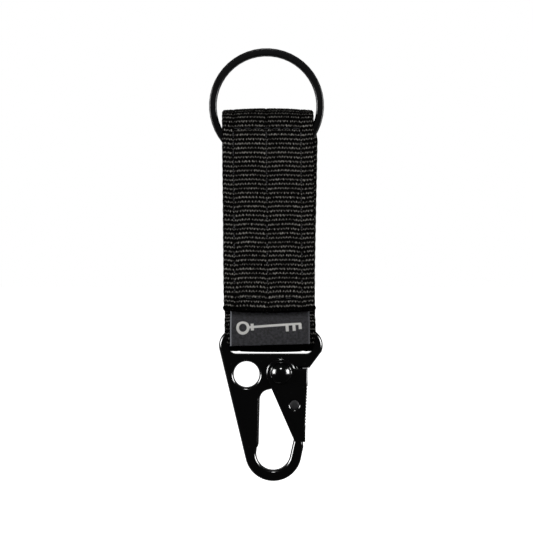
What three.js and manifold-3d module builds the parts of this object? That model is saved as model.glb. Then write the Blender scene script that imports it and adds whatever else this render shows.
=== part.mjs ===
// Webbing key strap: a ribbed strap with a hook-and-loop flap folded over a split ring,
// and a sprung snap clip hanging in the sewn loop at its lower end.
//
// Millimetres, +Z up towards the ring, +X to the right, +Y to the back.
// The origin is on the flat back face of the strap, at its middle.

import * as THREE from 'three';
import { mergeVertices } from 'three/addons/utils/BufferGeometryUtils.js';
import Module from 'manifold-3d';

// Webbing
const WEB = 1.4;                 // thickness of the ribbed webbing
const HALF_WIDTH = 12.7;         // half of a 25.4 mm strap
const SLOT_HALF_WIDTH = 10.9;    // half width where the strap bunches up in the clip's slot
const GAP = 0.05;                // play between layers that lie on each other

// Fold over the ring
const FOLD_RADIUS = 3.28;
const FOLD_Z = 30.25;            // height of the fold's centre
const FLAP_GAP = 0.1;            // cut between the fold and the flap that opens

// Lower loop around the clip's top bar
const LOOP_RADIUS = 2.95;
const LOOP_Z = -30.85;           // height of the bend's centre
const CLOSE_Z = [-26.6, -23];    // the front run leans back between these heights
const SLOT_ROOM_Z = -27.2;       // below this the strap keeps clear of the slot's ends
const SEWN_TOP_Z = -13;          // its cut end, under the flap
const LAID = 1.35;               // thickness of a layer pressed between two others

// Flap
const FLAP_BACK_TOP = -5.15;     // back face where it passes the ring
const FLAP_BACK_LOW = -3.9;      // back face where the tapes grip
const BULGE_Z = [18, 12];        // the flap settles back between these heights
const HEM_TOP_Z = -20.1;
const HEM_Z = -22.6;
const HEM_FRONT = -6.1;
const HEM_BACK = -3.25;

// Hook tape on the flap, loop tape on the strap
const HOOK_TAPE = 1.0;
const HOOK_Z = [29, -20];
const TAPE_HALF_WIDTH = 10.2;
const LOOP_TAPE_Z = [17.5, -12.5];

// Stitching
const THREAD = 0.5;              // width of a row of stitches
const THREAD_RISE = 0.3;
const GROOVE = 0.7;              // channel that the thread pulls into the webbing
const GROOVE_DEPTH = 0.35;
const FLAP_SEAM_X = { left: -9.6, centre: -0.45, right: 9.1 };
const FLAP_SEAM_Z = { top: 28.1, bottom: -18.95 };
const LOOP_SEAM_X = 8.9;
const LOOP_SEAM_Z = { top: 16.5, bottom: -11.5 };
const CLOSING_SEAM = { halfWidth: 9.6, top: -14.2, bottom: -21 };

// Label on the front of the lower loop
const LABEL = { thickness: 0.28, halfWidth: 11, centreX: 0.4, bottom: -31.9, top: -21.2 };

// Split ring
const RING = { x: -0.55, z: 34.5, outer: 16, inner: 13.9, coil: 1.15, front: -3.95, back: -1.55 };
const RING_JOG = 34;             // degrees over which one coil crosses to the other
const RING_STEP = 7.5;

// Snap clip
const CLIP = { centreY: -2.95, thickness: 2.6, top: -27.4, left: -13.8, right: 15.1 };
const BAR = { height: 2.9, round: 1.2 };
const SLOT = { left: -11, right: 12.4, bottom: -34.42, lowRadius: 2, highRadius: 0.6 };
const CORNER_RADIUS = 4.75;
const KEY_HOLE = { x: -6.1, z: -40.15, radius: 3.55 };
const HOOK = { x: 1.33, z: -62, outer: 7.9, inner: 4.7 };
const PIVOT = { x: 3.44, z: -39.78, lug: 5, hole: 1.6 };

// Gate
const EAR_RADIUS = 4.15;
const SHEET = 0.7;
const CHEEK_PLAY = 0.1;          // between the clip's faces and the cheeks
const GATE = { top: -38.5, right: 10.88, tip: -58.9, tipRight: 10.24, tipLeft: 7.15 };
const WALL_END_Z = -55;          // the side wall stops above the clip's nose
const TEETH = { from: -43.2, to: -54.6, count: 13, depth: 0.25 };
const POST = { x: 7.22, z: -48.55, radius: 1.1, hole: 1.2 };

const wasm = await Module();
wasm.setup();

const degrees = (angle) => THREE.MathUtils.degToRad(angle);

// ---------------------------------------------------------------- solids

// A closed geometry as a solid that can be cut and joined.
function solid(geometry) {
  const plain = geometry.clone();
  plain.deleteAttribute('normal');
  plain.deleteAttribute('uv');
  const merged = mergeVertices(plain, 1e-4);
  const vertProperties = new Float32Array(merged.attributes.position.array);
  const triVerts = new Uint32Array(merged.index.array);
  return new wasm.Manifold(new wasm.Mesh({ numProp: 3, vertProperties, triVerts }));
}

function geometryOf(manifold) {
  const mesh = manifold.getMesh();
  const geometry = new THREE.BufferGeometry();
  geometry.setAttribute('position', new THREE.BufferAttribute(mesh.vertProperties.slice(), 3));
  geometry.setIndex(new THREE.BufferAttribute(mesh.triVerts.slice(), 1));
  geometry.computeVertexNormals();
  return geometry;
}

// Moves every vertex of a geometry by a function of its place.
function reshape(geometry, move) {
  const position = geometry.attributes.position;
  const point = new THREE.Vector3();
  for (let i = 0; i < position.count; i += 1) {
    point.fromBufferAttribute(position, i);
    move(point);
    position.setXYZ(i, point.x, point.y, point.z);
  }
  geometry.computeVertexNormals();
  return geometry;
}

// An outline drawn as (X, Z), given a thickness along Y between two places.
function plate(shape, front, back, curveSegments = 6) {
  const settings = { depth: back - front, bevelEnabled: false, curveSegments };
  const geometry = new THREE.ExtrudeGeometry(shape, settings);
  geometry.rotateX(Math.PI / 2);
  return geometry.translate(0, back, 0);
}

// A side outline drawn as (Y, Z), spread across X between two places.
function across(shape, left, right, curveSegments = 4) {
  const settings = { depth: right - left, bevelEnabled: false, curveSegments };
  const geometry = new THREE.ExtrudeGeometry(shape, settings);
  const basis = new THREE.Matrix4().makeBasis(
    new THREE.Vector3(0, 1, 0),
    new THREE.Vector3(0, 0, 1),
    new THREE.Vector3(1, 0, 0),
  );
  return geometry.applyMatrix4(basis).translate(left, 0, 0);
}

function box(left, right, front, back, bottom, top) {
  const geometry = new THREE.BoxGeometry(right - left, back - front, top - bottom);
  return geometry.translate((left + right) / 2, (front + back) / 2, (bottom + top) / 2);
}

function rod(x, z, radius, front, back, sides = 24) {
  const geometry = new THREE.CylinderGeometry(radius, radius, back - front, sides);
  return geometry.translate(x, (front + back) / 2, z);
}

// ---------------------------------------------------------------- how the strap lies

// Heights where the strap's lean or width changes, and its centre line there.
const BACK_LEAN = [[33.6, -0.2], [31, -0.2], [25.5, 1.05], [-17, 0.2], [-22.5, 0.6], [-34, 0.6]];
const FRONT_LEAN = [[33.6, -0.24], [-23, 0.25]];
const WIDTHS = [[33.6, HALF_WIDTH], [-21, HALF_WIDTH], [-24.5, 12.3], [-27.1, SLOT_HALF_WIDTH],
  [-34, SLOT_HALF_WIDTH]];

// The value at a height, read between the two nearest entries of a list.
function valueAt(entries, z) {
  const last = entries[entries.length - 1];
  if (z >= entries[0][0]) return entries[0][1];
  if (z <= last[0]) return last[1];
  const lower = entries.findIndex(([height]) => height < z);
  const [z0, v0] = entries[lower - 1];
  const [z1, v1] = entries[lower];
  return THREE.MathUtils.mapLinear(z, z0, z1, v0, v1);
}

const KNOTS = [...new Set([...BACK_LEAN, ...WIDTHS].map(([z]) => z))];

// A straight vertical run that keeps a point at each height where the strap changes.
function run(shape, y, from, to) {
  const between = KNOTS.filter((z) => (z - from) * (z - to) < 0);
  between.sort((a, b) => (from > to ? b - a : a - b));
  for (const z of between) shape.lineTo(y, z);
  shape.lineTo(y, to);
}

// Lays a body that is two units wide along the strap, at the strap's lean and width.
function lay(geometry, lean, widths) {
  return reshape(geometry, (point) => {
    point.x = valueAt(lean, point.z) + point.x * valueAt(widths, point.z);
  });
}

// Shifts a narrow body, such as a thread, with the strap's lean.
const leanWith = (geometry, lean) => reshape(geometry, (point) => {
  point.x += valueAt(lean, point.z);
});

// ---------------------------------------------------------------- strap

// Evenly spaced values from one to another.
const steps = (from, to, count) => Array.from(
  { length: count + 1 }, (_, i) => from + ((to - from) * i) / count);

// The front face of the lower loop at a height: over the clip's bar, then onto the back run.
function loopFace(z) {
  const along = THREE.MathUtils.smoothstep(z, ...CLOSE_Z);
  return THREE.MathUtils.lerp(-2 * LOOP_RADIUS, -WEB - GAP - LAID, along);
}

function strapShape() {
  const shape = new THREE.Shape();
  const foldY = -FOLD_RADIUS;
  const loopY = -LOOP_RADIUS;
  const closing = steps(...CLOSE_Z, 6);
  shape.moveTo(0, FOLD_Z);
  run(shape, 0, FOLD_Z, LOOP_Z);
  shape.absarc(loopY, LOOP_Z, LOOP_RADIUS, 0, -Math.PI, true);
  for (const z of closing) shape.lineTo(loopFace(z), z);
  shape.lineTo(loopFace(SEWN_TOP_Z), SEWN_TOP_Z);
  shape.lineTo(loopFace(SEWN_TOP_Z) + LAID, SEWN_TOP_Z);
  for (const z of closing.reverse()) shape.lineTo(loopFace(z) + LAID, z);
  shape.lineTo(loopY - LOOP_RADIUS + WEB, LOOP_Z);
  shape.absarc(loopY, LOOP_Z, LOOP_RADIUS - WEB, -Math.PI, 0, false);
  run(shape, -WEB, LOOP_Z, FOLD_Z);
  shape.absarc(foldY, FOLD_Z, FOLD_RADIUS - WEB, 0, Math.PI, false);
  shape.lineTo(2 * foldY, FOLD_Z);
  shape.absarc(foldY, FOLD_Z, FOLD_RADIUS, Math.PI, 0, true);
  return shape;
}

// Seams on the back: round the loop tape, and the frame that closes the lower loop.
// Each takes a width, a depth and how far it stands out; wider and deeper, it is its groove.
function backSeams() {
  const lean = (geometry) => leanWith(geometry, BACK_LEAN);
  const upright = (x, width, depth, proud) => {
    const shorter = THREAD - (width - THREAD) / 2;
    const [bottom, top] = [LOOP_SEAM_Z.bottom + shorter, LOOP_SEAM_Z.top - shorter];
    return lean(box(x - width / 2, x + width / 2, -depth, proud, bottom, top));
  };
  const level = (z, width, depth, proud) => {
    const half = LOOP_SEAM_X + width / 2;
    return lean(box(-half, half, -depth, proud, z - width / 2, z + width / 2));
  };
  const frame = (width, depth, proud) => {
    const { halfWidth, top, bottom } = CLOSING_SEAM;
    const shape = rectangle(halfWidth + width / 2, bottom - width / 2, top + width / 2);
    shape.holes.push(rectangle(halfWidth - width / 2, bottom + width / 2, top - width / 2));
    return lean(plate(shape, -depth, proud));
  };
  return {
    loop_seam_left: (...size) => upright(-LOOP_SEAM_X, ...size),
    loop_seam_right: (...size) => upright(LOOP_SEAM_X, ...size),
    loop_seam_top: (...size) => level(LOOP_SEAM_Z.top, ...size),
    loop_seam_bottom: (...size) => level(LOOP_SEAM_Z.bottom, ...size),
    loop_closing_seam: frame,
  };
}

function rectangle(halfWidth, bottom, top) {
  const shape = new THREE.Shape();
  shape.moveTo(-halfWidth, bottom);
  shape.lineTo(halfWidth, bottom);
  shape.lineTo(halfWidth, top);
  shape.lineTo(-halfWidth, top);
  return shape;
}

function strapWebbing() {
  const strap = lay(across(strapShape(), -1, 1), BACK_LEAN, WIDTHS);
  let cut = solid(strap);
  for (const seam of Object.values(backSeams())) {
    cut = cut.subtract(solid(seam(GROOVE, GROOVE_DEPTH, GROOVE_DEPTH)));
  }
  // Room beside the strap for the ends of the clip's slot, which swing past it.
  const centre = valueAt(BACK_LEAN, LOOP_Z);
  for (const side of [-1, 1]) {
    const edge = centre + side * (SLOT_HALF_WIDTH + 0.05);
    const beyond = edge + side * 5;
    const room = box(Math.min(edge, beyond), Math.max(edge, beyond), -8, 1, -36, SLOT_ROOM_Z);
    cut = cut.subtract(solid(room));
  }
  return geometryOf(cut);
}

function loopTape() {
  const front = -WEB - GAP - LAID;
  const [top, bottom] = LOOP_TAPE_Z;
  const tape = box(-TAPE_HALF_WIDTH, TAPE_HALF_WIDTH, front, -WEB - GAP, bottom, top);
  return leanWith(tape, BACK_LEAN);
}

function label() {
  const heights = [LABEL.bottom, ...steps(...CLOSE_Z, 6), LABEL.top];
  const shape = new THREE.Shape();
  shape.moveTo(loopFace(LABEL.bottom) - GAP, LABEL.bottom);
  for (const z of heights.slice(1)) shape.lineTo(loopFace(z) - GAP, z);
  for (const z of heights.reverse()) shape.lineTo(loopFace(z) - GAP - LABEL.thickness, z);
  return across(shape, LABEL.centreX - LABEL.halfWidth, LABEL.centreX + LABEL.halfWidth);
}

// ---------------------------------------------------------------- flap

// The flap's back face at a height: out past the ring, then back onto the tapes.
function flapBack(z) {
  const [start, end] = BULGE_Z;
  const along = THREE.MathUtils.smoothstep(z, end, start);
  return THREE.MathUtils.lerp(FLAP_BACK_LOW, FLAP_BACK_TOP, along);
}

// A strip that follows the flap, between two distances in front of its back face.
function flapStrip(top, bottom, inner, outer) {
  const heights = [top, ...steps(...BULGE_Z, 6), bottom];
  const shape = new THREE.Shape();
  shape.moveTo(flapBack(top) - outer, top);
  for (const z of heights.slice(1)) shape.lineTo(flapBack(z) - outer, z);
  for (const z of heights.reverse()) shape.lineTo(flapBack(z) - inner, z);
  return shape;
}

function flapWebbingBlank() {
  const layer = solid(across(flapStrip(FOLD_Z - FLAP_GAP, HEM_TOP_Z + 0.5, 0, WEB), -1, 1));
  const hem = new THREE.Shape();
  const radius = (HEM_BACK - HEM_FRONT) / 2;
  const front = FLAP_BACK_LOW - WEB;
  hem.moveTo(FLAP_BACK_LOW, HEM_TOP_Z + 0.8);
  hem.lineTo(front, HEM_TOP_Z + 0.8);
  hem.lineTo(HEM_FRONT, HEM_TOP_Z - 0.6);
  hem.absarc(HEM_FRONT + radius, HEM_Z + radius, radius, Math.PI, 2 * Math.PI, false);
  hem.lineTo(HEM_BACK, HEM_TOP_Z);
  hem.lineTo(FLAP_BACK_LOW, HEM_TOP_Z);
  return lay(geometryOf(layer.add(solid(across(hem, -1, 1)))), FRONT_LEAN, [[0, HALF_WIDTH]]);
}

// The flap's seams: three along it, one across each end. Deeper and wider, each is its groove.
function flapSeams() {
  const surface = WEB + 0.01;
  const lean = (geometry) => leanWith(geometry, FRONT_LEAN);
  const upright = (x, width, depth, proud) => {
    const extra = (width - THREAD) / 2;
    const top = FLAP_SEAM_Z.top - THREAD + extra;
    const bottom = FLAP_SEAM_Z.bottom + THREAD - extra;
    const shape = flapStrip(top, bottom, surface - depth, surface + proud);
    return lean(across(shape, x - width / 2, x + width / 2));
  };
  const level = (z, width, depth, proud) => {
    const face = flapBack(z) - surface;
    const { left, right } = FLAP_SEAM_X;
    const bar = box(left - width / 2, right + width / 2, face - proud, face + depth,
      z - width / 2, z + width / 2);
    return lean(bar);
  };
  return {
    flap_seam_left: (...size) => upright(FLAP_SEAM_X.left, ...size),
    flap_seam_centre: (...size) => upright(FLAP_SEAM_X.centre, ...size),
    flap_seam_right: (...size) => upright(FLAP_SEAM_X.right, ...size),
    flap_seam_top: (...size) => level(FLAP_SEAM_Z.top, ...size),
    flap_seam_bottom: (...size) => level(FLAP_SEAM_Z.bottom, ...size),
  };
}

function flapWebbing() {
  let cut = solid(flapWebbingBlank());
  for (const seam of Object.values(flapSeams())) {
    cut = cut.subtract(solid(seam(GROOVE, GROOVE_DEPTH, 0.2)));
  }
  return geometryOf(cut);
}

function hookTape() {
  const [top, bottom] = HOOK_Z;
  const shape = flapStrip(top, bottom, -GAP - HOOK_TAPE, -GAP);
  return leanWith(across(shape, -TAPE_HALF_WIDTH, TAPE_HALF_WIDTH), FRONT_LEAN);
}

// ---------------------------------------------------------------- split ring

// One flat wire wound twice: it starts in the front coil and ends in the back one.
function splitRing() {
  const halfWire = (RING.outer - RING.inner) / 2;
  const halfCoil = RING.coil / 2;
  const chamfer = 0.3;
  const section = new THREE.Shape();
  section.moveTo(-halfWire + chamfer, -halfCoil);
  section.lineTo(halfWire - chamfer, -halfCoil);
  section.lineTo(halfWire, -halfCoil + chamfer);
  section.lineTo(halfWire, halfCoil - chamfer);
  section.lineTo(halfWire - chamfer, halfCoil);
  section.lineTo(-halfWire + chamfer, halfCoil);
  section.lineTo(-halfWire, halfCoil - chamfer);
  section.lineTo(-halfWire, -halfCoil + chamfer);
  const sweep = 720 - 1.2 * RING_JOG;
  const settings = { depth: 1, steps: Math.round(sweep / RING_STEP), bevelEnabled: false };
  const wire = new THREE.ExtrudeGeometry(section, settings);
  const frontY = RING.front + halfCoil;
  const backY = RING.back - halfCoil;
  const radius = RING.inner + halfWire;
  return reshape(wire, (point) => {
    const turn = (point.z - 0.5) * sweep;
    const cross = THREE.MathUtils.smoothstep(turn, -RING_JOG / 2, RING_JOG / 2);
    const angle = degrees(turn - 90);
    const distance = radius + point.x;
    const y = THREE.MathUtils.lerp(frontY, backY, cross) + point.y;
    point.set(RING.x + distance * Math.cos(angle), y, RING.z + distance * Math.sin(angle));
  });
}

// ---------------------------------------------------------------- snap clip

function clipShape() {
  const shape = new THREE.Shape();
  const leftX = CLIP.left + CORNER_RADIUS;
  const rightX = CLIP.right - CORNER_RADIUS;
  const cornerZ = CLIP.top - CORNER_RADIUS;
  const lean = degrees(13.1);
  shape.moveTo(leftX, CLIP.top);
  shape.absarc(leftX, cornerZ, CORNER_RADIUS, degrees(90), degrees(180) + lean, false);
  shape.absarc(HOOK.x, HOOK.z, HOOK.outer, degrees(180) + lean, degrees(348), false);
  shape.lineTo(9.75, -60.3);
  shape.lineTo(9.45, -57);
  shape.quadraticCurveTo(9.45, -56.4, 8.9, -56.4);
  shape.lineTo(7.9, -56.4);
  shape.quadraticCurveTo(7.4, -56.4, 7.3, -57);
  shape.lineTo(5.85, -62.8);
  shape.absarc(HOOK.x, HOOK.z, HOOK.inner, degrees(-10), degrees(180), true);
  shape.lineTo(-3.2, -60.6);
  shape.quadraticCurveTo(-2.68, -59.9, -2.68, -59.1);
  shape.lineTo(-2.4, -47);
  shape.quadraticCurveTo(-2.1, -44.7, 0.4, -44.4);
  shape.absarc(PIVOT.x, PIVOT.z, PIVOT.lug, degrees(-118), degrees(16), false);
  shape.lineTo(11.4, -38.4);
  shape.lineTo(14.6, -34.1);
  shape.absarc(rightX, cornerZ, CORNER_RADIUS, degrees(-23), degrees(90), false);
  return shape;
}

function slotShape() {
  const { left, right, bottom, lowRadius, highRadius } = SLOT;
  const top = CLIP.top - BAR.height;
  const slot = new THREE.Path();
  slot.moveTo(left + lowRadius, bottom);
  slot.absarc(right - lowRadius, bottom + lowRadius, lowRadius, degrees(-90), 0, false);
  slot.absarc(right - highRadius, top - highRadius, highRadius, 0, degrees(90), false);
  slot.absarc(left + highRadius, top - highRadius, highRadius, degrees(90), degrees(180), false);
  slot.absarc(left + lowRadius, bottom + lowRadius, lowRadius, degrees(180), degrees(270), false);
  return slot;
}

function clipBody() {
  const front = CLIP.centreY - CLIP.thickness / 2;
  const back = CLIP.centreY + CLIP.thickness / 2;
  const shape = clipShape();
  shape.holes.push(slotShape());
  const blank = solid(plate(shape, front, back, 8));
  const keyHole = solid(rod(KEY_HOLE.x, KEY_HOLE.z, KEY_HOLE.radius, front - 1, back + 1, 36));
  const pivotHole = solid(rod(PIVOT.x, PIVOT.z, PIVOT.hole, front - 1, back + 1));

  // The bar in the strap's loop is rounded all along, so that it can turn there.
  const bottom = CLIP.top - BAR.height;
  const halfHeight = BAR.height / 2;
  const halfDepth = CLIP.thickness / 2;
  const round = BAR.round;
  const section = new THREE.Shape();
  const corners = [[1, -1], [1, 1], [-1, 1], [-1, -1]];
  corners.forEach(([side, level], i) => {
    const y = CLIP.centreY + side * (halfDepth - round);
    const z = CLIP.top - halfHeight + level * (halfHeight - round);
    section.absarc(y, z, round, degrees(90 * i - 90), degrees(90 * i), false);
  });
  const ends = [SLOT.left + 0.1, SLOT.right - 0.1];
  const bar = solid(across(section, ends[0] - 1, ends[1] + 1));
  const zone = solid(box(...ends, front - 1, back + 1, bottom - 0.3, CLIP.top + 1));
  return geometryOf(blank.subtract(keyHole).subtract(pivotHole).subtract(zone.subtract(bar)));
}

// Domed head in front, shank through gate and clip, flat head behind.
function pivotRivet() {
  const cheekFront = CLIP.centreY - CLIP.thickness / 2 - CHEEK_PLAY - SHEET - GAP;
  const cheekBack = CLIP.centreY + CLIP.thickness / 2 + CHEEK_PLAY + SHEET + GAP;
  const head = { radius: 3.1, height: 2 };
  const tail = { radius: 2.6, height: 0.65 };
  const shank = PIVOT.hole - 0.1;
  const profile = [new THREE.Vector2(0, cheekFront - head.height)];
  for (let angle = 15; angle <= 90; angle += 15) {
    const x = head.radius * Math.sin(degrees(angle));
    profile.push(new THREE.Vector2(x, cheekFront - head.height * Math.cos(degrees(angle))));
  }
  profile.push(new THREE.Vector2(shank, cheekFront));
  profile.push(new THREE.Vector2(shank, cheekBack));
  profile.push(new THREE.Vector2(tail.radius, cheekBack));
  profile.push(new THREE.Vector2(tail.radius - 0.2, cheekBack + tail.height));
  profile.push(new THREE.Vector2(0, cheekBack + tail.height));
  return new THREE.LatheGeometry(profile, 24).translate(PIVOT.x, 0, PIVOT.z);
}

// ---------------------------------------------------------------- gate

// Cheek outline: an ear around the pivot, then a wedge down to the tip.
function gateShape() {
  const shape = new THREE.Shape();
  const inner = new THREE.Vector2(GATE.tipLeft, GATE.tip + 0.25);
  const toPivot = new THREE.Vector2(PIVOT.x, PIVOT.z).sub(inner);
  const spread = Math.asin(EAR_RADIUS / toPivot.length());
  const tangent = toPivot.angle() + spread + Math.PI / 2;
  const shoulder = Math.asin((GATE.top - PIVOT.z) / EAR_RADIUS);
  shape.moveTo(GATE.tipLeft + 0.25, GATE.tip);
  shape.lineTo(GATE.tipRight, GATE.tip);
  shape.lineTo(GATE.tipRight, -56);
  const pitch = (TEETH.from - TEETH.to) / TEETH.count;
  for (let i = 0; i < TEETH.count; i += 1) {
    const z = TEETH.to + i * pitch;
    const edge = THREE.MathUtils.mapLinear(z, -56, -39.5, GATE.tipRight, GATE.right);
    shape.lineTo(edge, z);
    shape.lineTo(edge, z + 0.55 * pitch);
    shape.lineTo(edge - TEETH.depth, z + 0.7 * pitch);
    shape.lineTo(edge - TEETH.depth, z + 0.9 * pitch);
  }
  shape.lineTo(GATE.right - 0.1, TEETH.from);
  shape.lineTo(GATE.right, GATE.top - 0.3);
  shape.lineTo(GATE.right - 0.3, GATE.top);
  shape.absarc(PIVOT.x, PIVOT.z, EAR_RADIUS, shoulder, tangent, false);
  shape.lineTo(inner.x, inner.y);
  return shape;
}

// One folded sheet: a cheek on each face of the clip, joined by a wall on the outer side.
function gateChannel() {
  const front = CLIP.centreY - CLIP.thickness / 2 - CHEEK_PLAY;
  const back = CLIP.centreY + CLIP.thickness / 2 + CHEEK_PLAY;
  const block = solid(plate(gateShape(), front - SHEET, back + SHEET, 8));
  const inside = solid(box(-2, 9.5, front, back, -60, -30));
  const belowWall = solid(box(0, 12, front, back, -60, WALL_END_Z));
  const pivotHole = solid(rod(PIVOT.x, PIVOT.z, PIVOT.hole + 0.05, -8, 2));
  const postHole = solid(rod(POST.x, POST.z, POST.hole, -8, 2, 16));
  return geometryOf(block.subtract(inside).subtract(belowWall).subtract(pivotHole).subtract(postHole));
}

function springPost() {
  const front = CLIP.centreY - CLIP.thickness / 2 - CHEEK_PLAY - SHEET;
  const back = CLIP.centreY + CLIP.thickness / 2 + CHEEK_PLAY + SHEET;
  return rod(POST.x, POST.z, POST.radius, front + 0.15, back - 0.15, 16);
}

// Coils round the post; one leg bears on the clip's lug, the other on the gate's wall.
class SpringPath extends THREE.Curve {
  getPoint(t) {
    const coil = POST.radius + 0.55;
    const turns = 2.583;
    const start = CLIP.centreY - 0.9;
    const end = CLIP.centreY + 0.9;
    const angle = degrees(150) + t * turns * 2 * Math.PI;
    const y = THREE.MathUtils.lerp(start, end, t);
    return new THREE.Vector3(POST.x + coil * Math.cos(angle), y, POST.z + coil * Math.sin(angle));
  }
}

function torsionSpring() {
  const coils = new SpringPath();
  const points = steps(0, 1, 44).map((t) => coils.getPoint(t));
  points.unshift(new THREE.Vector3(5.35, CLIP.centreY - 0.95, -45.35));
  points.push(new THREE.Vector3(8.95, CLIP.centreY + 0.95, -52.6));
  const path = new THREE.CurvePath();
  for (let i = 1; i < points.length; i += 1) {
    path.add(new THREE.LineCurve3(points[i - 1], points[i]));
  }
  const section = new THREE.Shape().absarc(0, 0, 0.3, 0, 2 * Math.PI, false);
  const settings = { steps: 60, extrudePath: path, bevelEnabled: false, curveSegments: 3 };
  return new THREE.ExtrudeGeometry(section, settings);
}

// ---------------------------------------------------------------- assembly

const LOOKS = {
  webbing: { color: 0x141413, roughness: 0.9, metalness: 0 },
  tape: { color: 0x111112, roughness: 1, metalness: 0 },
  thread: { color: 0x24262b, roughness: 0.7, metalness: 0 },
  label: { color: 0x2a292c, roughness: 0.8, metalness: 0 },
  ring: { color: 0x0b0b0c, roughness: 0.3, metalness: 0.6 },
  clip: { color: 0x050505, roughness: 0.15, metalness: 0.5 },
  spring: { color: 0x8c8c90, roughness: 0.35, metalness: 1 },
};

const group = new THREE.Group();

function add(name, geometry, look) {
  const mesh = new THREE.Mesh(geometry, new THREE.MeshStandardMaterial(LOOKS[look]));
  mesh.name = name;
  group.add(mesh);
}

add('strap_webbing', strapWebbing(), 'webbing');
add('loop_tape', loopTape(), 'tape');
for (const [name, seam] of Object.entries(backSeams())) {
  add(name, seam(THREAD, THREAD_RISE, 0), 'thread');
}
add('label', label(), 'label');
add('flap_webbing', flapWebbing(), 'webbing');
add('hook_tape', hookTape(), 'tape');
for (const [name, seam] of Object.entries(flapSeams())) {
  add(name, seam(THREAD, THREAD_RISE, 0), 'thread');
}
add('split_ring', splitRing(), 'ring');
add('clip_body', clipBody(), 'clip');
add('pivot_rivet', pivotRivet(), 'clip');
add('gate_channel', gateChannel(), 'clip');
add('spring_post', springPost(), 'clip');
add('torsion_spring', torsionSpring(), 'spring');

export default group;
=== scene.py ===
from math import cos, pi, radians, sin

import bmesh
import bpy
import numpy as np
from mathutils import Matrix, Vector


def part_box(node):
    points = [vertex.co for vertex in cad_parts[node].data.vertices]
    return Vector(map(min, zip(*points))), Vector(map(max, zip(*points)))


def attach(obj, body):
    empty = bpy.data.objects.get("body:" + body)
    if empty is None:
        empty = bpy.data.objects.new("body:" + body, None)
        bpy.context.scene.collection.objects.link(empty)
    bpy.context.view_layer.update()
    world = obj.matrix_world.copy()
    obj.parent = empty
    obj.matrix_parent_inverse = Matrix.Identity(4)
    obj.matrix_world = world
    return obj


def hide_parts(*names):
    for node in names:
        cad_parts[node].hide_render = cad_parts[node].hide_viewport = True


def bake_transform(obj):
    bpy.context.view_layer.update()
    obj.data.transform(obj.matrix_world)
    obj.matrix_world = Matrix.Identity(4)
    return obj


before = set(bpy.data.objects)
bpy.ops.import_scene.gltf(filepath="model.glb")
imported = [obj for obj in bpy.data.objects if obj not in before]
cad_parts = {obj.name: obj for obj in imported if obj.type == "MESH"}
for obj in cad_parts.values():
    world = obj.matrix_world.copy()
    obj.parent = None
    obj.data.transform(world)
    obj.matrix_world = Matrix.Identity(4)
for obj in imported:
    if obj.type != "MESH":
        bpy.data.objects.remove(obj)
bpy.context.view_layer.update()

bl_info = {
    "name": "Webbing key strap",
    "version": (1, 0, 0),
    "blender": (4, 5, 0),
    "location": "3D View > Sidebar > Key strap",
    "description": "Builds the cloth, stitching and metal of a webbing key strap round its frame",
    "category": "Object",
}

MM = 0.001

# ------------------------------------------------------------ places read from the frame


def box_mm(node):
    """A node's lowest and highest corners, in millimetres."""
    low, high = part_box(node)
    return low / MM, high / MM


STRAP_LOW, STRAP_HIGH = box_mm("strap_webbing")
FLAP_LOW = box_mm("flap_webbing")[0]
CLIP_LOW, CLIP_HIGH = box_mm("clip_body")
LABEL_LOW, LABEL_HIGH = box_mm("label")
HOOK_LOW, HOOK_HIGH = box_mm("hook_tape")
LOOP_LOW, LOOP_HIGH = box_mm("loop_tape")
POST_LOW, POST_HIGH = box_mm("spring_post")
RIVET_LOW, RIVET_HIGH = box_mm("pivot_rivet")
CHEEK_LOW, CHEEK_HIGH = box_mm("gate_channel")

WEB = 1.4                                   # thickness of the webbing
HALF_WIDTH = 12.7
SLOT_HALF_WIDTH = 11.6                      # half width where it bunches up in the slot
CLIP_Y = (CLIP_LOW.y + CLIP_HIGH.y) / 2     # middle of the clip's plate
FOLD_RADIUS = -STRAP_LOW.y / 2
FOLD_Z = STRAP_HIGH.z - FOLD_RADIUS
LOOP_RADIUS = -CLIP_Y                       # the loop runs round the clip's bar
LOOP_Z = STRAP_LOW.z + LOOP_RADIUS
CLOSE_Z = (-26.6, -23.0)                    # the loop's front leans back between these
SEWN_TOP_Z = -13.2                          # the loop's cut end, under the flap
LAID_Y = -WEB - 0.05 - 1.35 / 2             # middle of a layer pressed onto the back run
RING_PASS_Y = -6.0                          # middle of the flap where it passes the ring
FLAP_TOP_Y = -5.85                          # the same for the hook tape's top
FLAP_LOW_Y = -4.6                           # middle of the flap where the tapes grip
BULGE_Z = (20.0, 3.0)                       # the flap eases back between these
PAST_FOLD = 8.5                             # length of the flap's path that the fold takes up
HEM_EASE_Z = (-18.2, -20.4)                 # and comes forward again over the hem
HEM_Y = -5.35
HEM_RADIUS = 0.72
HEM_WIDE_Z = -20.8                          # the hem's roll is wider below this
HEM_SHADE_Z = -20.9                         # and painted darker below this, as shade
LOOP_SHADE_Z = -30.8                        # and the front of the loop gets painted shade below this

TAPE_BASE = 0.4                             # thickness of a tape's ground

# The weave, in millimetres unless it says otherwise.
COLUMNS = 162                               # points across the webbing, three to a warp yarn
YARN_TURNS = 0.055                          # warp yarns sit up and down by turns, in ribs
YARN_SLANT = 0.1                            # lean of a yarn over its rib, in yarns
YARN_UNEVEN = 0.07                          # spread of the yarns' heights
SHADE_UNEVEN = 0.1                          # spread of the yarns' shades
GROOVE_DEPTH = 0.41                         # depth of the grooves under the webbing's full thickness
RIB_RISE, YARN_RISE = 0.1, 0.32             # height of a bare rib, and of the yarns over it
BEND_REACH = 1.9                            # how far a seam bends the ribs beside it
SEAM_DEPTH, SEAM_REACH = 0.2, 0.42
CROSS_DEPTH, CROSS_REACH = 0.22, 0.55       # the same for a seam across the webbing
SELVEDGE = 0.7                              # width of the rounded edge
EDGE_WAVE = 0.045                           # how far each rib stands out or in at the edge


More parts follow.
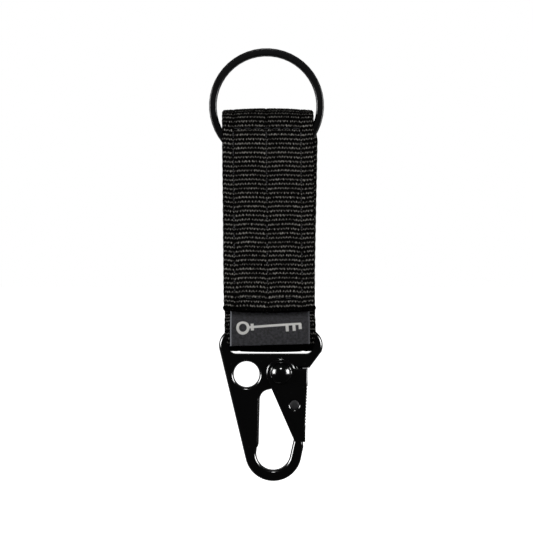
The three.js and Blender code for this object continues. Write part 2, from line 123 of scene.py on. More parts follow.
def pick(entries, z):
    """The value at a height, read between the two nearest entries of a list."""
    heights = [entry[0] for entry in entries]
    values = [entry[1] for entry in entries]
    return np.interp(z, heights, values)


# Centre line of each run of the strap, and its half width, at rising heights.
BACK_LEAN = [(-31, 0.7), (-28, 0.45), (-22.5, 0.4), (-17, 0.2), (25.5, 1.05), (31, -0.2),
             (33.6, -0.22)]
FRONT_LEAN = [(-23, 0.25), (31, -0.2), (33.6, -0.22)]
WIDTHS = [(-33.4, SLOT_HALF_WIDTH - 0.15), (-32.7, SLOT_HALF_WIDTH), (-31.6, 12.2),
          (-30, 12.5), (-28.4, 12.65), (-22, 12.6), (-18, HALF_WIDTH), (34, HALF_WIDTH)]


class StrapSettings(bpy.types.PropertyGroup):
    """Sizes and colours of the strap and its metal."""

    rib_pitch: bpy.props.FloatProperty(
        name="Rib pitch", description="Distance from one rib of the webbing to the next",
        default=1.24 * MM, unit="LENGTH")
    yarn_pitch: bpy.props.FloatProperty(
        name="Yarn pitch", description="Distance from one warp yarn to the next",
        default=0.47 * MM, unit="LENGTH")
    stitch: bpy.props.FloatProperty(
        name="Stitch length", description="Length of one stitch of a seam",
        default=2.5 * MM, unit="LENGTH")
    thread: bpy.props.FloatProperty(
        name="Thread", description="Thickness of the sewing thread",
        default=0.34 * MM, unit="LENGTH")
    clip_edge: bpy.props.FloatProperty(
        name="Clip edge", description="Rounding of the clip's edges",
        default=1.0 * MM, unit="LENGTH")
    gate_edge: bpy.props.FloatProperty(
        name="Gate edge", description="Rounding of the folded sheet's edges",
        default=0.6 * MM, unit="LENGTH")
    # Painted highlight: the colour on top of the ribs is far brighter than the black yarn's own, for
    # the light on them.
    yarn_and_highlight_colour: bpy.props.FloatVectorProperty(
        name="Yarn", description="Colour of the webbing on top of its ribs",
        subtype="COLOR", size=3, default=(0.31, 0.3, 0.278))
    # Painted shade: the colour between the ribs is darker than the yarn's own, for the shade in the
    # grooves.
    groove_shade_colour: bpy.props.FloatVectorProperty(
        name="Groove", description="Colour between the ribs",
        subtype="COLOR", size=3, default=(0.0006, 0.0006, 0.0006))
    thread_colour: bpy.props.FloatVectorProperty(
        name="Thread", description="Colour of the stitches",
        subtype="COLOR", size=3, default=(0.014, 0.015, 0.02))
    label_colour: bpy.props.FloatVectorProperty(
        name="Label", description="Colour of the label's ground",
        subtype="COLOR", size=3, default=(0.024, 0.0235, 0.029))
    mark_colour: bpy.props.FloatVectorProperty(
        name="Mark", description="Colour of the mark woven into the label",
        subtype="COLOR", size=3, default=(0.75, 0.74, 0.71))
    clip_colour: bpy.props.FloatVectorProperty(
        name="Clip", description="Colour of the clip's gloss coat",
        subtype="COLOR", size=3, default=(0.0015, 0.0015, 0.0016))
    ring_colour: bpy.props.FloatVectorProperty(
        name="Ring", description="Colour of the ring's black finish",
        subtype="COLOR", size=3, default=(0.004, 0.004, 0.0045))


def settings():
    return bpy.context.scene.key_strap


# ------------------------------------------------------------ node groups and materials


def new_group(name, inputs, outputs):
    """A shader node group with plain sockets; returns it with its ends."""
    group = bpy.data.node_groups.new(name, "ShaderNodeTree")
    for label, kind, value in inputs:
        socket = group.interface.new_socket(label, in_out="INPUT", socket_type=kind)
        if value is not None:
            socket.default_value = value
    for label, kind in outputs:
        group.interface.new_socket(label, in_out="OUTPUT", socket_type=kind)
    start = group.nodes.new("NodeGroupInput")
    end = group.nodes.new("NodeGroupOutput")
    return group, start, end


def node(tree, kind, links=(), **values):
    """Adds a node, sets its properties or sockets, and links its inputs."""
    made = tree.nodes.new(kind)
    for key, value in values.items():
        if hasattr(made, key) and key not in made.inputs:
            setattr(made, key, value)
        else:
            made.inputs[key.replace("_", " ")].default_value = value
    for socket, source in dict(links).items():
        tree.links.new(source, made.inputs[socket])
    return made


def math(tree, operation, a, b=None, clamp=False):
    made = tree.nodes.new("ShaderNodeMath")
    made.operation = operation
    made.use_clamp = clamp
    for index, value in enumerate((a, b)):
        if value is None:
            continue
        if isinstance(value, (int, float)):
            made.inputs[index].default_value = value
        else:
            tree.links.new(value, made.inputs[index])
    return made.outputs[0]


def mix(tree, factor, first, second, blend="MIX"):
    made = tree.nodes.new("ShaderNodeMix")
    made.data_type = "RGBA"
    made.blend_type = blend
    for index, value in ((0, factor), (6, first), (7, second)):
        if hasattr(value, "is_linked"):
            tree.links.new(value, made.inputs[index])
        elif index == 0:
            made.inputs[0].default_value = value
        else:
            made.inputs[index].default_value = (*value, 1)
    return made.outputs[2]


def fibre_group():
    """Fine filaments that run along a yarn, from a UV map in millimetres."""
    name = "Filaments"
    if name in bpy.data.node_groups:
        return bpy.data.node_groups[name]
    group, start, end = new_group(
        name,
        [("Vector", "NodeSocketVector", None), ("Across", "NodeSocketFloat", 14.0),
         ("Along", "NodeSocketFloat", 1.6)],
        [("Shade", "NodeSocketFloat"), ("Height", "NodeSocketFloat")],
    )
    scale = node(group, "ShaderNodeCombineXYZ", {"X": start.outputs["Across"],
                                                 "Y": start.outputs["Along"]})
    drawn_out = group.nodes.new("ShaderNodeVectorMath")
    drawn_out.operation = "MULTIPLY"
    group.links.new(start.outputs["Vector"], drawn_out.inputs[0])
    group.links.new(scale.outputs[0], drawn_out.inputs[1])
    strands = node(group, "ShaderNodeTexNoise", {"Vector": drawn_out.outputs[0]},
                   Scale=1.0, Detail=3.0, Roughness=0.6)
    lumps = node(group, "ShaderNodeTexNoise", {"Vector": start.outputs["Vector"]},
                 Scale=0.9, Detail=2.0)
    both = math(group, "MULTIPLY_ADD", strands.outputs["Fac"], 1.5)
    group.links.new(lumps.outputs["Fac"], both.node.inputs[2])
    shade = math(group, "MULTIPLY", both, 0.8)
    group.links.new(shade, end.inputs["Shade"])
    group.links.new(strands.outputs["Fac"], end.inputs["Height"])
    return group


def speckle_group():
    """The faint unevenness of a sprayed or plated finish."""
    name = "Coat grain"
    if name in bpy.data.node_groups:
        return bpy.data.node_groups[name]
    group, start, end = new_group(
        name,
        [("Grain size", "NodeSocketFloat", 2600.0), ("Low", "NodeSocketFloat", 0.1),
         ("High", "NodeSocketFloat", 0.2)],
        [("Roughness", "NodeSocketFloat"), ("Height", "NodeSocketFloat"),
         ("Dust", "NodeSocketFloat")],
    )
    place = group.nodes.new("ShaderNodeTexCoord").outputs["Object"]
    grain = node(group, "ShaderNodeTexNoise", {"Vector": place}, Detail=3.0)
    group.links.new(start.outputs["Grain size"], grain.inputs["Scale"])
    cloud = node(group, "ShaderNodeTexNoise", {"Vector": place}, Scale=180.0, Detail=4.0)
    rough = node(group, "ShaderNodeMapRange", {"Value": cloud.outputs["Fac"],
                                               "To Min": start.outputs["Low"],
                                               "To Max": start.outputs["High"]})
    specks = node(group, "ShaderNodeTexVoronoi", {"Vector": place}, Scale=420.0)
    dust = node(group, "ShaderNodeMapRange", {"Value": specks.outputs["Distance"]},
                **{"From Min": 0.07, "From Max": 0.03})
    group.links.new(rough.outputs["Result"], end.inputs["Roughness"])
    group.links.new(grain.outputs["Fac"], end.inputs["Height"])
    group.links.new(dust.outputs["Result"], end.inputs["Dust"])
    return group


def add_bump(tree, shader, height, strength, distance, **options):
    """Bumps a shader by a height; distance is in millimetres."""
    bump = node(tree, "ShaderNodeBump", {"Height": height}, Strength=strength,
                Distance=distance * MM, **options)
    tree.links.new(bump.outputs["Normal"], shader.inputs["Normal"])


def new_material(name, **constants):
    """A material with one Principled shader; constants go onto its sockets."""
    material = bpy.data.materials.new(name)
    material.use_nodes = True
    tree = material.node_tree
    shader = tree.nodes["Principled BSDF"]
    for socket, value in constants.items():
        shader.inputs[socket.replace("_", " ")].default_value = value
    return material, tree, shader


def webbing_material(name, crown, groove):
    """Black nylon webbing with filaments on it: painted highlight where a yarn stands high, painted
    shade in the grooves.
    """
    material, tree, shader = new_material(
        name, Specular_IOR_Level=0.03, Specular_Tint=(1, 0.94, 0.84, 1))
    uv = node(tree, "ShaderNodeUVMap", uv_map="UVMap").outputs["UV"]
    fibre = tree.nodes.new("ShaderNodeGroup")
    fibre.node_tree = fibre_group()
    tree.links.new(uv, fibre.inputs["Vector"])
    height = node(tree, "ShaderNodeAttribute", attribute_name="crown").outputs["Fac"]
    # This attribute carries each yarn's own tone and the painted shade on the webbing's rounded
    # ends.
    tone_and_painted_shade = node(tree, "ShaderNodeAttribute", attribute_name="tone_and_painted_shade").outputs["Fac"]
    raised = node(tree, "ShaderNodeMapRange", {"Value": height},
                  interpolation_type="SMOOTHSTEP", **{"From Min": 0.56, "From Max": 1.04})
    # Painted highlight and shade: the colour runs from the groove's painted shade to the crown's
    # painted highlight with how high a yarn stands.
    colour = mix(tree, raised.outputs["Result"], groove, crown)
    shaded = math(tree, "MULTIPLY", fibre.outputs["Shade"], tone_and_painted_shade)
    grey = node(tree, "ShaderNodeCombineColor", {"Red": shaded, "Green": shaded, "Blue": shaded})
    tinted = mix(tree, 1.0, colour, grey.outputs[0], "MULTIPLY")
    tree.links.new(tinted, shader.inputs["Base Color"])
    rough = node(tree, "ShaderNodeMapRange", {"Value": height},
                 **{"From Min": 0.4, "To Min": 0.9, "To Max": 0.5})
    tree.links.new(rough.outputs["Result"], shader.inputs["Roughness"])
    add_bump(tree, shader, fibre.outputs["Height"], 0.6, 0.05)
    return material


def thread_material():
    """Bonded sewing thread with the twist of its plies."""
    material, tree, shader = new_material("sewing_thread", Roughness=0.5)
    place = tree.nodes.new("ShaderNodeTexCoord").outputs["Object"]
    twist = node(tree, "ShaderNodeTexWave", {"Vector": place}, bands_direction="DIAGONAL",
                 Scale=900.0, Distortion=2.0, Detail=1.0)
    dark = tuple(0.35 * value for value in settings().thread_colour)
    colour = mix(tree, twist.outputs["Fac"], dark, settings().thread_colour)
    tree.links.new(colour, shader.inputs["Base Color"])
    add_bump(tree, shader, twist.outputs["Fac"], 0.6, 0.05)
    return material


def key_mark_group():
    """A small key: a round bow, a long shank and two teeth, from UV in millimetres."""
    name = "Key mark"
    if name in bpy.data.node_groups:
        return bpy.data.node_groups[name]
    group, start, end = new_group(
        name, [("Vector", "NodeSocketVector", None)], [("Mask", "NodeSocketFloat")])
    parts = node(group, "ShaderNodeSeparateXYZ", {"Vector": start.outputs["Vector"]})
    across, up = parts.outputs["X"], parts.outputs["Y"]

    def bar(centre_x, half_x, centre_y, half_y):
        """One inside an upright rectangle, with an edge as soft as a woven one."""
        sides = []
        for value, centre, half in ((across, centre_x, half_x), (up, centre_y, half_y)):
            away = math(group, "ABSOLUTE", math(group, "SUBTRACT", value, centre))
            inside = math(group, "SUBTRACT", half + 0.06, away)
            sides.append(math(group, "MULTIPLY", inside, 8.0, clamp=True))
        return math(group, "MULTIPLY", *sides)

    bow_x, bow_radius, bow_width = -7.2, 1.45, 0.38
    centred = node(group, "ShaderNodeCombineXYZ", {"X": math(group, "SUBTRACT", across, bow_x),
                                                   "Y": up})
    length = group.nodes.new("ShaderNodeVectorMath")
    length.operation = "LENGTH"
    group.links.new(centred.outputs[0], length.inputs[0])
    off_ring = math(group, "ABSOLUTE",
                    math(group, "SUBTRACT", length.outputs["Value"], bow_radius))
    bow = math(group, "MULTIPLY", math(group, "SUBTRACT", bow_width + 0.06, off_ring), 8.0,
               clamp=True)
    mask = bow
    for shape in ((1.65, 7.2, 0.0, 0.3), (5.0, 0.42, -0.95, 0.95), (6.9, 0.42, -0.95, 0.95),
                  (8.6, 0.42, -0.75, 0.75), (-4.6, 0.42, 0.0, 0.9)):
        mask = math(group, "MAXIMUM", mask, bar(*shape))
    group.links.new(mask, end.inputs["Mask"])
    return group


def label_material():
    """Charcoal woven label with a pale key woven in and a paler band along its sides."""
    material, tree, shader = new_material("woven_label", Roughness=0.7, Sheen_Weight=0.1)
    uv = node(tree, "ShaderNodeUVMap", uv_map="UVMap").outputs["UV"]
    weave = node(tree, "ShaderNodeTexNoise", {"Vector": uv}, Scale=1.3, Detail=2.0,
                 Roughness=0.6)
    grid = node(tree, "ShaderNodeTexBrick", {"Vector": uv}, Scale=1.0,
                **{"Brick Width": 0.34, "Row Height": 0.16, "Mortar Size": 0.025,
                   "Mortar Smooth": 0.5})
    grid.inputs["Color1"].default_value = (1, 1, 1, 1)
    grid.inputs["Color2"].default_value = (0.7, 0.7, 0.72, 1)
    grid.inputs["Mortar"].default_value = (0.3, 0.3, 0.3, 1)
    ground = mix(tree, 1.0, settings().label_colour, grid.outputs["Color"], "MULTIPLY")
    cloud = node(tree, "ShaderNodeMapRange", {"Value": weave.outputs["Fac"]},
                 **{"From Min": 0.4, "From Max": 0.6, "To Min": 0.4, "To Max": 1.6})
    grey = node(tree, "ShaderNodeCombineColor", {name: cloud.outputs["Result"]
                                                 for name in ("Red", "Green", "Blue")})
    ground = mix(tree, 1.0, ground, grey.outputs[0], "MULTIPLY")
    mark = tree.nodes.new("ShaderNodeGroup")
    mark.node_tree = key_mark_group()
    tree.links.new(uv, mark.inputs["Vector"])
    yarn = mix(tree, 0.35, settings().mark_colour, grid.outputs["Color"], "MULTIPLY")
    colour = mix(tree, mark.outputs["Mask"], ground, yarn)
    # A paler band along the label's sides, from its edge attribute.
    edge = node(tree, "ShaderNodeAttribute", attribute_name="edge").outputs["Fac"]
    colour = mix(tree, edge, colour, (0.3, 0.31, 0.34))
    tree.links.new(colour, shader.inputs["Base Color"])
    relief = math(tree, "ADD", grid.outputs["Fac"], math(tree, "MULTIPLY",
                                                        mark.outputs["Mask"], -0.8))
    add_bump(tree, shader, relief, 0.5, 0.04, invert=True)
    return material


def coated_metal(name, colour, low, high, grain, bump_strength, **constants):
    """Black metal: a smooth coat with a faint grain and a few specks of dust."""
    material, tree, shader = new_material(name, **constants)
    coat = tree.nodes.new("ShaderNodeGroup")
    coat.node_tree = speckle_group()
    coat.inputs["Grain size"].default_value = grain
    coat.inputs["Low"].default_value = low
    coat.inputs["High"].default_value = high
    tree.links.new(coat.outputs["Roughness"], shader.inputs["Roughness"])
    dusty = tuple(4 * value + 0.01 for value in colour)
    shade = mix(tree, coat.outputs["Dust"], colour, dusty)
    tree.links.new(shade, shader.inputs["Base Color"])
    bump = node(tree, "ShaderNodeBump", {"Height": coat.outputs["Height"]},
                Strength=bump_strength, Distance=0.02 * MM)
    tree.links.new(bump.outputs["Normal"], shader.inputs["Normal"])
    return material


# ------------------------------------------------------------ helpers for modelling


def deselect():
    if bpy.context.object and bpy.context.object.mode != "OBJECT":
        bpy.ops.object.mode_set(mode="OBJECT")
    bpy.ops.object.select_all(action="DESELECT")


def activate(piece):
    deselect()
    piece.select_set(True)
    bpy.context.view_layer.objects.active = piece


def place_in_mesh(piece):
    """Puts an object's place into its mesh."""
    activate(piece)
    bpy.ops.object.transform_apply(location=True, rotation=True, scale=True)


def join(pieces, name):
    activate(pieces[0])
    for piece in pieces[1:]:
        piece.select_set(True)
    bpy.ops.object.join()
    joined = bpy.context.object
    joined.name = name
    joined.data.name = name
    return joined


def finish_piece(piece, body, material, nodes=()):
    """Gives a piece its one material and its body, and hides the nodes it stands for."""
    piece.data.materials.clear()
    piece.data.materials.append(material)
    if body:
        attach(piece, body)
    if nodes:
        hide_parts(*nodes)


def copied_node(source, name):
    """A copy of a CAD node as one merged mesh of quads."""
    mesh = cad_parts[source].data.copy()
    mesh.name = name
    piece = bpy.data.objects.new(name, mesh)
    bpy.context.scene.collection.objects.link(piece)
    activate(piece)
    bpy.ops.object.mode_set(mode="EDIT")
    bpy.ops.mesh.select_all(action="SELECT")
    bpy.ops.mesh.remove_doubles(threshold=0.002 * MM)
    bpy.ops.mesh.customdata_custom_splitnormals_clear()
    bpy.ops.mesh.tris_convert_to_quads(face_threshold=radians(30), shape_threshold=radians(60))
    bpy.ops.mesh.faces_shade_smooth()
    bpy.ops.object.mode_set(mode="OBJECT")
    return piece


def bevel_sharp_edges(piece, width, segments, sharp):
    """Rounds the edges where faces meet at more than an angle."""
    activate(piece)
    bpy.ops.object.mode_set(mode="EDIT")
    bpy.ops.mesh.select_mode(type="EDGE")
    bpy.ops.mesh.select_all(action="DESELECT")
    bpy.ops.mesh.edges_select_sharp(sharpness=radians(sharp))
    bpy.ops.mesh.bevel(offset=width, segments=segments, profile=0.5, affect="EDGES",
                       clamp_overlap=False)
    bpy.ops.object.mode_set(mode="OBJECT")


def weighted_shading(piece, angle=40):
    """Smooth over rounded edges, flat over flat faces."""
    activate(piece)
    bpy.ops.object.shade_smooth_by_angle(angle=radians(angle))
    bpy.ops.object.modifier_add(type="WEIGHTED_NORMAL")
    piece.modifiers[-1].keep_sharp = True
    bpy.ops.object.modifier_apply(modifier=piece.modifiers[-1].name)


# ------------------------------------------------------------ paths of the cloth


class Path:
    """A run of cloth seen from the side: evenly spaced points with outward normals."""

    def __init__(self, parts, side, step):
        dense = []
        for kind, *numbers in parts:
            dense.extend(getattr(self, kind)(*numbers))
        dense = np.array(dense)
        gaps = np.linalg.norm(np.diff(dense, axis=0), axis=1)
        keep = np.concatenate([[True], gaps > 1e-6])
        dense = dense[keep]
        gaps = np.linalg.norm(np.diff(dense, axis=0), axis=1)
        along = np.concatenate([[0], np.cumsum(gaps)])
        self.length = along[-1]
        count = int(round(self.length / step)) + 1
        self.s = np.linspace(0, self.length, count)
        self.y = np.interp(self.s, along, dense[:, 0])
        self.z = np.interp(self.s, along, dense[:, 1])
        ty, tz = np.gradient(self.y, self.s), np.gradient(self.z, self.s)
        size = np.hypot(ty, tz)
        self.tangent = np.stack([ty / size, tz / size], axis=1)
        self.normal = side * np.stack([self.tangent[:, 1], -self.tangent[:, 0]], axis=1)
        face = np.stack([self.y, self.z], axis=1) + self.normal * WEB / 2
        self.outer = np.concatenate([[0], np.cumsum(np.linalg.norm(np.diff(face, axis=0), axis=1))])

    @staticmethod
    def line(y0, z0, y1, z1):
        t = np.linspace(0, 1, 60)
        return np.stack([y0 + (y1 - y0) * t, z0 + (z1 - z0) * t], axis=1)

    @staticmethod
    def arc(y, z, radius, start, end):
        angle = np.radians(np.linspace(start, end, 80))
        return np.stack([y + radius * np.cos(angle), z + radius * np.sin(angle)], axis=1)

    @staticmethod
    def curve(*handles):
        """A smooth bend between two points, steered by the two handles between them."""
        a, b, c, d = (np.array(handle)[None, :] for handle in handles)
        t = np.linspace(0, 1, 80)[:, None]
        return a * (1 - t) ** 3 + 3 * b * t * (1 - t) ** 2 + 3 * c * t * t * (1 - t) + d * t ** 3

    @staticmethod
    def ease(y0, z0, y1, z1):
        """An S-bend that starts and ends upright."""
        t = np.linspace(0, 1, 60)
        bend = t * t * (3 - 2 * t)
        return np.stack([y0 + (y1 - y0) * bend, z0 + (z1 - z0) * t], axis=1)

    def place(self, s):
        """Point, tangent and normal at a distance along the path, as (Y, Z) pairs."""
        point = np.array([np.interp(s, self.s, self.y), np.interp(s, self.s, self.z)])
        tangent = np.array([np.interp(s, self.s, self.tangent[:, k]) for k in (0, 1)])
        normal = np.array([np.interp(s, self.s, self.normal[:, k]) for k in (0, 1)])
        return point, tangent, normal

    def s_at(self, z, after=0.0):
        """How far along the path first meets a height, past a given distance."""
        rows = np.nonzero(self.s >= after)[0]
        nearest = rows[np.argmin(np.abs(self.z[rows] - z) + 0.02 * (self.s[rows] - after) / 60)]
        return self.s[nearest]


def back_path(step):
    """Back run, bend under the clip's bar, front of the loop, sewn end."""
    half = WEB / 2
    return Path([
        ("line", -half, FOLD_Z, -half, LOOP_Z),
        ("arc", -LOOP_RADIUS, LOOP_Z, LOOP_RADIUS - half, 0, -180),
        ("line", -2 * LOOP_RADIUS + half, LOOP_Z, -2 * LOOP_RADIUS + half, CLOSE_Z[0]),
        ("ease", -2 * LOOP_RADIUS + half, CLOSE_Z[0], LAID_Y, CLOSE_Z[1]),
        ("line", LAID_Y, CLOSE_Z[1], LAID_Y, SEWN_TOP_Z),
    ], -1, step)


def flap_path(step):
    """Fold over the ring, front run, and the hem turned under at its end."""
    half = WEB / 2
    hem_z = FLAP_LOW.z + half + HEM_RADIUS
    top = STRAP_HIGH.z - half
    return Path([
        ("curve", (-half, FOLD_Z), (-half, top - 1.2), (-0.8, top), (-1.4, top)),
        ("curve", (-1.4, top), (-2.8, top), (-5.1, top - 0.9), (-5.7, top - 2.6)),
        ("curve", (-5.7, top - 2.6), (-5.8, top - 4.0), (RING_PASS_Y, top - 6),
         (RING_PASS_Y, BULGE_Z[0] + 3)),
        ("line", RING_PASS_Y, BULGE_Z[0] + 3, RING_PASS_Y, BULGE_Z[0]),
        ("ease", RING_PASS_Y, BULGE_Z[0], FLAP_LOW_Y, BULGE_Z[1]),
        ("line", FLAP_LOW_Y, BULGE_Z[1], FLAP_LOW_Y, HEM_EASE_Z[0]),
        ("ease", FLAP_LOW_Y, HEM_EASE_Z[0], HEM_Y, HEM_EASE_Z[1]),
        ("line", HEM_Y, HEM_EASE_Z[1], HEM_Y, hem_z),
        ("arc", HEM_Y + HEM_RADIUS, hem_z, HEM_RADIUS, 180, 360),
        ("line", HEM_Y + 2 * HEM_RADIUS, hem_z, HEM_Y + 2 * HEM_RADIUS, hem_z + 0.7),
    ], 1, step)


# ------------------------------------------------------------ cloth


def sheet_mesh(name, outer, inner, attributes, u, v):
    """A closed sheet from its two faces, each a grid of points in millimetres."""
    rows, columns = outer.shape[:2]
    count = rows * columns
    points = np.concatenate([outer.reshape(-1, 3), inner.reshape(-1, 3)]) * MM
    grid = np.arange(count).reshape(rows, columns)
    a, b = grid[:-1, :-1], grid[:-1, 1:]
    c, d = grid[1:, 1:], grid[1:, :-1]
    front = np.stack([a, d, c, b], axis=-1).reshape(-1, 4)
    back = np.stack([a, b, c, d], axis=-1).reshape(-1, 4) + count
    rim = np.concatenate([grid[:, 0], grid[-1, 1:], grid[-2::-1, -1], grid[0, -2:0:-1]])
    following = np.roll(rim, -1)
    wall = np.stack([rim, rim + count, following + count, following], axis=-1)
    faces = np.concatenate([front, back, wall])
    mesh = bpy.data.meshes.new(name)
    mesh.vertices.add(len(points))
    mesh.vertices.foreach_set("co", points.astype(np.float32).ravel())
    mesh.loops.add(faces.size)
    mesh.loops.foreach_set("vertex_index", faces.astype(np.int32).ravel())
    mesh.polygons.add(len(faces))
    mesh.polygons.foreach_set("loop_start", np.arange(0, faces.size, 4, dtype=np.int32))
    mesh.update(calc_edges=True)
    uv = mesh.uv_layers.new(name="UVMap")
    flat = np.stack([np.tile(u.ravel(), 2), np.tile(v.ravel(), 2)], axis=1)
    uv.data.foreach_set("uv", flat[faces.ravel()].astype(np.float32).ravel())
    for label, values in attributes.items():
        layer = mesh.attributes.new(label, "FLOAT", "POINT")
        layer.data.foreach_set("value", np.tile(values.ravel(), 2).astype(np.float32))
    mesh.validate()
    mesh.shade_smooth()
    piece = bpy.data.objects.new(name, mesh)
    bpy.context.scene.collection.objects.link(piece)
    turn_outwards(piece)
    return piece


def turn_outwards(piece):
    """Turns a closed mesh's faces round if they point inwards."""
    mesh = bmesh.new()
    mesh.from_mesh(piece.data)
    if mesh.calc_volume(signed=True) < 0:
        bmesh.ops.reverse_faces(mesh, faces=mesh.faces)
        mesh.to_mesh(piece.data)
    mesh.free()


def below(z, start, reach):
    """0 above a height, growing to 1 over a reach below it."""
    return np.clip((start - z) / reach, 0, 1)


def above(z, start, reach):
    """0 below a height, growing to 1 over a reach above it."""
    return np.clip((z - start) / reach, 0, 1)


def rib_drift(path, u, random):
    """Slow wander of the ribs, made of a few waves along and across the cloth."""
    s = path.s[:, None]
    drift = np.zeros((len(s), u.shape[1]))
    for (i, j), wave in np.ndenumerate(random.normal(size=(9, 7))):
        drift += wave * 0.009 * np.cos(pi * i * s / path.length) * np.cos(pi * j * (u + 1))
    return drift


def woven_ribs(phase, across, random):
    """How far the ribs and the warp yarns over them stand up, and each yarn's shade.

    phase counts ribs along the webbing, and across counts warp yarns over its width.
    """
    rib = np.floor(phase).astype(int)
    hump = np.sin(pi * (phase - rib)) ** 1.1
    slant = YARN_SLANT * (phase - rib - 0.5) * np.where(rib % 2 == 0, 1, -1)
    # One set of yarns shows on every second rib, the other set half a yarn over on the next.
    across = across + 0.5 * (rib % 2) + slant
    strand = np.floor(across).astype(int)
    round_yarn = np.abs(np.cos(pi * (across - strand - 0.5))) ** 0.7
    own = rib, strand - strand.min()
    count = rib.max() + 2, strand.max() - strand.min() + 2
    lift = random.normal(0, YARN_UNEVEN, size=count)
    shade = random.normal(1.0, SHADE_UNEVEN, size=count)
    stout = (strand + rib // 2) % 2 == 1
    level = np.clip(np.where(stout, 1.0, 0.9) + lift[own], 0.3, 1.2)
    crown = hump * (0.36 + 0.64 * round_yarn) * level
    return hump, crown, shade[own]


def seam_pull(s, flat_x, bow, pitch, seams, cross_seams):
    """How far the thread draws the webbing down along its seams."""
    pull = np.zeros_like(flat_x)
    beat = 0.75 + 0.25 * np.cos(2 * pi * s / (2 * pitch))
    for line in seams:
        pull += SEAM_DEPTH * np.exp(-((flat_x - line) / SEAM_REACH) ** 2) * beat
    for low, high, level in cross_seams:
        inside = (flat_x > low) & (flat_x < high)
        pull += np.where(inside, CROSS_DEPTH, 0) * np.exp(-((s + bow - level) / CROSS_REACH) ** 2)
    return pull


def webbing(name, path, lean, seed, seams=(), cross_seams=(), bulge=0.33, loop_sag=0.0,
            hem_sag=0.0, hem_shade=0.0, loop_shade=0.0):
    """Ribbed webbing along a path: stout ribs, warp yarns over them, pulled in at its seams.

    bulge is how far the ribs bow between seams; the sags are how far the loop's and the hem's
    ends hang, and the shades how much painted shade darkens them, from 0 to 1.
    """
    pitch = settings().rib_pitch / MM
    yarn = settings().yarn_pitch / MM
    random = np.random.default_rng(seed)
    s = path.s[:, None]
    u = np.linspace(-1, 1, COLUMNS + 1)[None, :]
    z_row = path.z[:, None]
    half_width = pick(WIDTHS, z_row) + 0.3 * hem_shade * below(z_row, HEM_WIDE_Z, 0.8)
    flat_x = u * half_width

    # Ribs are counted along the outer face, and bow down to each seam.
    bow = np.zeros_like(flat_x)
    for line in seams:
        bow -= bulge * np.exp(-np.abs(flat_x - line) / BEND_REACH)
    across = u * HALF_WIDTH / yarn
    turns = YARN_TURNS * np.where(np.floor(across).astype(int) % 2 == 0, 1, -1)
    phase = (path.outer[:, None] + bow + rib_drift(path, u, random)) / pitch + turns
    hump, crown, shade = woven_ribs(phase, across, random)
    pull = seam_pull(s, flat_x, bow, pitch, seams, cross_seams)

    # Selvedges are rounded off and a little uneven, and the loop's front is worn smooth.
    from_edge = np.clip((half_width - np.abs(flat_x)) / SELVEDGE, 0, 1)
    rounding = np.sqrt(1 - (1 - from_edge) ** 2) * 0.8 + 0.2
    edge_wave = EDGE_WAVE * np.sin(pi * phase) * (np.abs(u) > 0.965) * np.sign(u)
    in_loop = below(z_row, LOOP_SHADE_Z, 0.8)
    height = (RIB_RISE * hump + YARN_RISE * crown) * (1 - 0.7 * loop_shade * in_loop)
    depth = (WEB / 2 - GROOVE_DEPTH + height) * rounding

    # The fold stands highest in its middle, and the loop and the hem hang lowest there.
    middle = 1 - (flat_x / HALF_WIDTH) ** 2
    rise = 0.6 * middle * above(z_row, 29, 4) ** 2
    rise = rise - loop_sag * (0.35 + 0.65 * middle) * below(z_row, -28, 5)
    rise = rise - hem_sag * middle * below(z_row, -17, 4)
    x = pick(lean, z_row) + flat_x + edge_wave
    middle_y, middle_z = path.y[:, None], path.z[:, None]
    normal_y, normal_z = path.normal[:, 0][:, None], path.normal[:, 1][:, None]

    def face(offset):
        return np.stack([x, middle_y + normal_y * offset, middle_z + rise + normal_z * offset],
                        axis=-1)

    # Painted shade darkens the colour of the rounded ends, where they lie in shadow: the fold's top,
    # the hem's roll, the front of the loop.
    shade = shade * (1 - 0.6 * above(z_row, 29.5, 2.5))
    shade = shade * (1 - hem_shade * below(z_row, HEM_SHADE_Z, 0.4))
    shade = shade * (1 - loop_shade * np.clip(1 - normal_y, 0, 1) * in_loop)
    # The crown also sets the painted highlight, so it is lowered at the rounded selvedges and in the
    # seams' dents, as painted shade.
    crown = np.clip(crown * np.clip(rounding + 0.1, 0, 1) - 0.5 * pull, 0, 1.2)
    return sheet_mesh(name, face(depth - pull), face(-depth),
                      {"crown": crown, "tone_and_painted_shade": shade}, flat_x, s + 0 * flat_x)


def plain_cloth(name, path, lean, half_width, thickness, seed):
    """A thin woven ground along a path, for the tapes."""
    random = np.random.default_rng(seed)
    s = path.s[:, None]
    flat_x = np.linspace(-half_width, half_width, 41)[None, :] + 0 * s
    pitch = 0.9
    ripple = 0.02 * np.sin(2 * pi * flat_x / pitch) * np.sin(2 * pi * s / pitch)
    ripple = ripple + random.normal(0, 0.006, size=ripple.shape)
    depth = thickness / 2 - 0.03 + ripple
    x = pick(lean, path.z[:, None]) + flat_x
    y, z = path.y[:, None], path.z[:, None]
    ny, nz = path.normal[:, 0][:, None], path.normal[:, 1][:, None]

    def face(offset):
        return np.stack([x, y + ny * offset, z + nz * offset], axis=-1)

    # Painted light and shade: the ground's colour is lighter where its ripple stands up and darker
    # in its dips.
    shade = np.clip(0.6 + 20 * ripple, 0, 1)
    return sheet_mesh(name, face(depth), face(-depth), {"crown": shade, "tone_and_painted_shade": shade * 0 + 1},
                      flat_x, s + 0 * flat_x)


def node_middle(name):
    low, high = box_mm(name)
    return (low + high) / 2


def flap_seam_lines():
    """Where the three upright seams run across the flap's width."""
    lines = []
    for side in ("left", "centre", "right"):
        middle = node_middle("flap_seam_" + side)
        lines.append(middle.x - float(pick(FRONT_LEAN, middle.z)))
    return lines


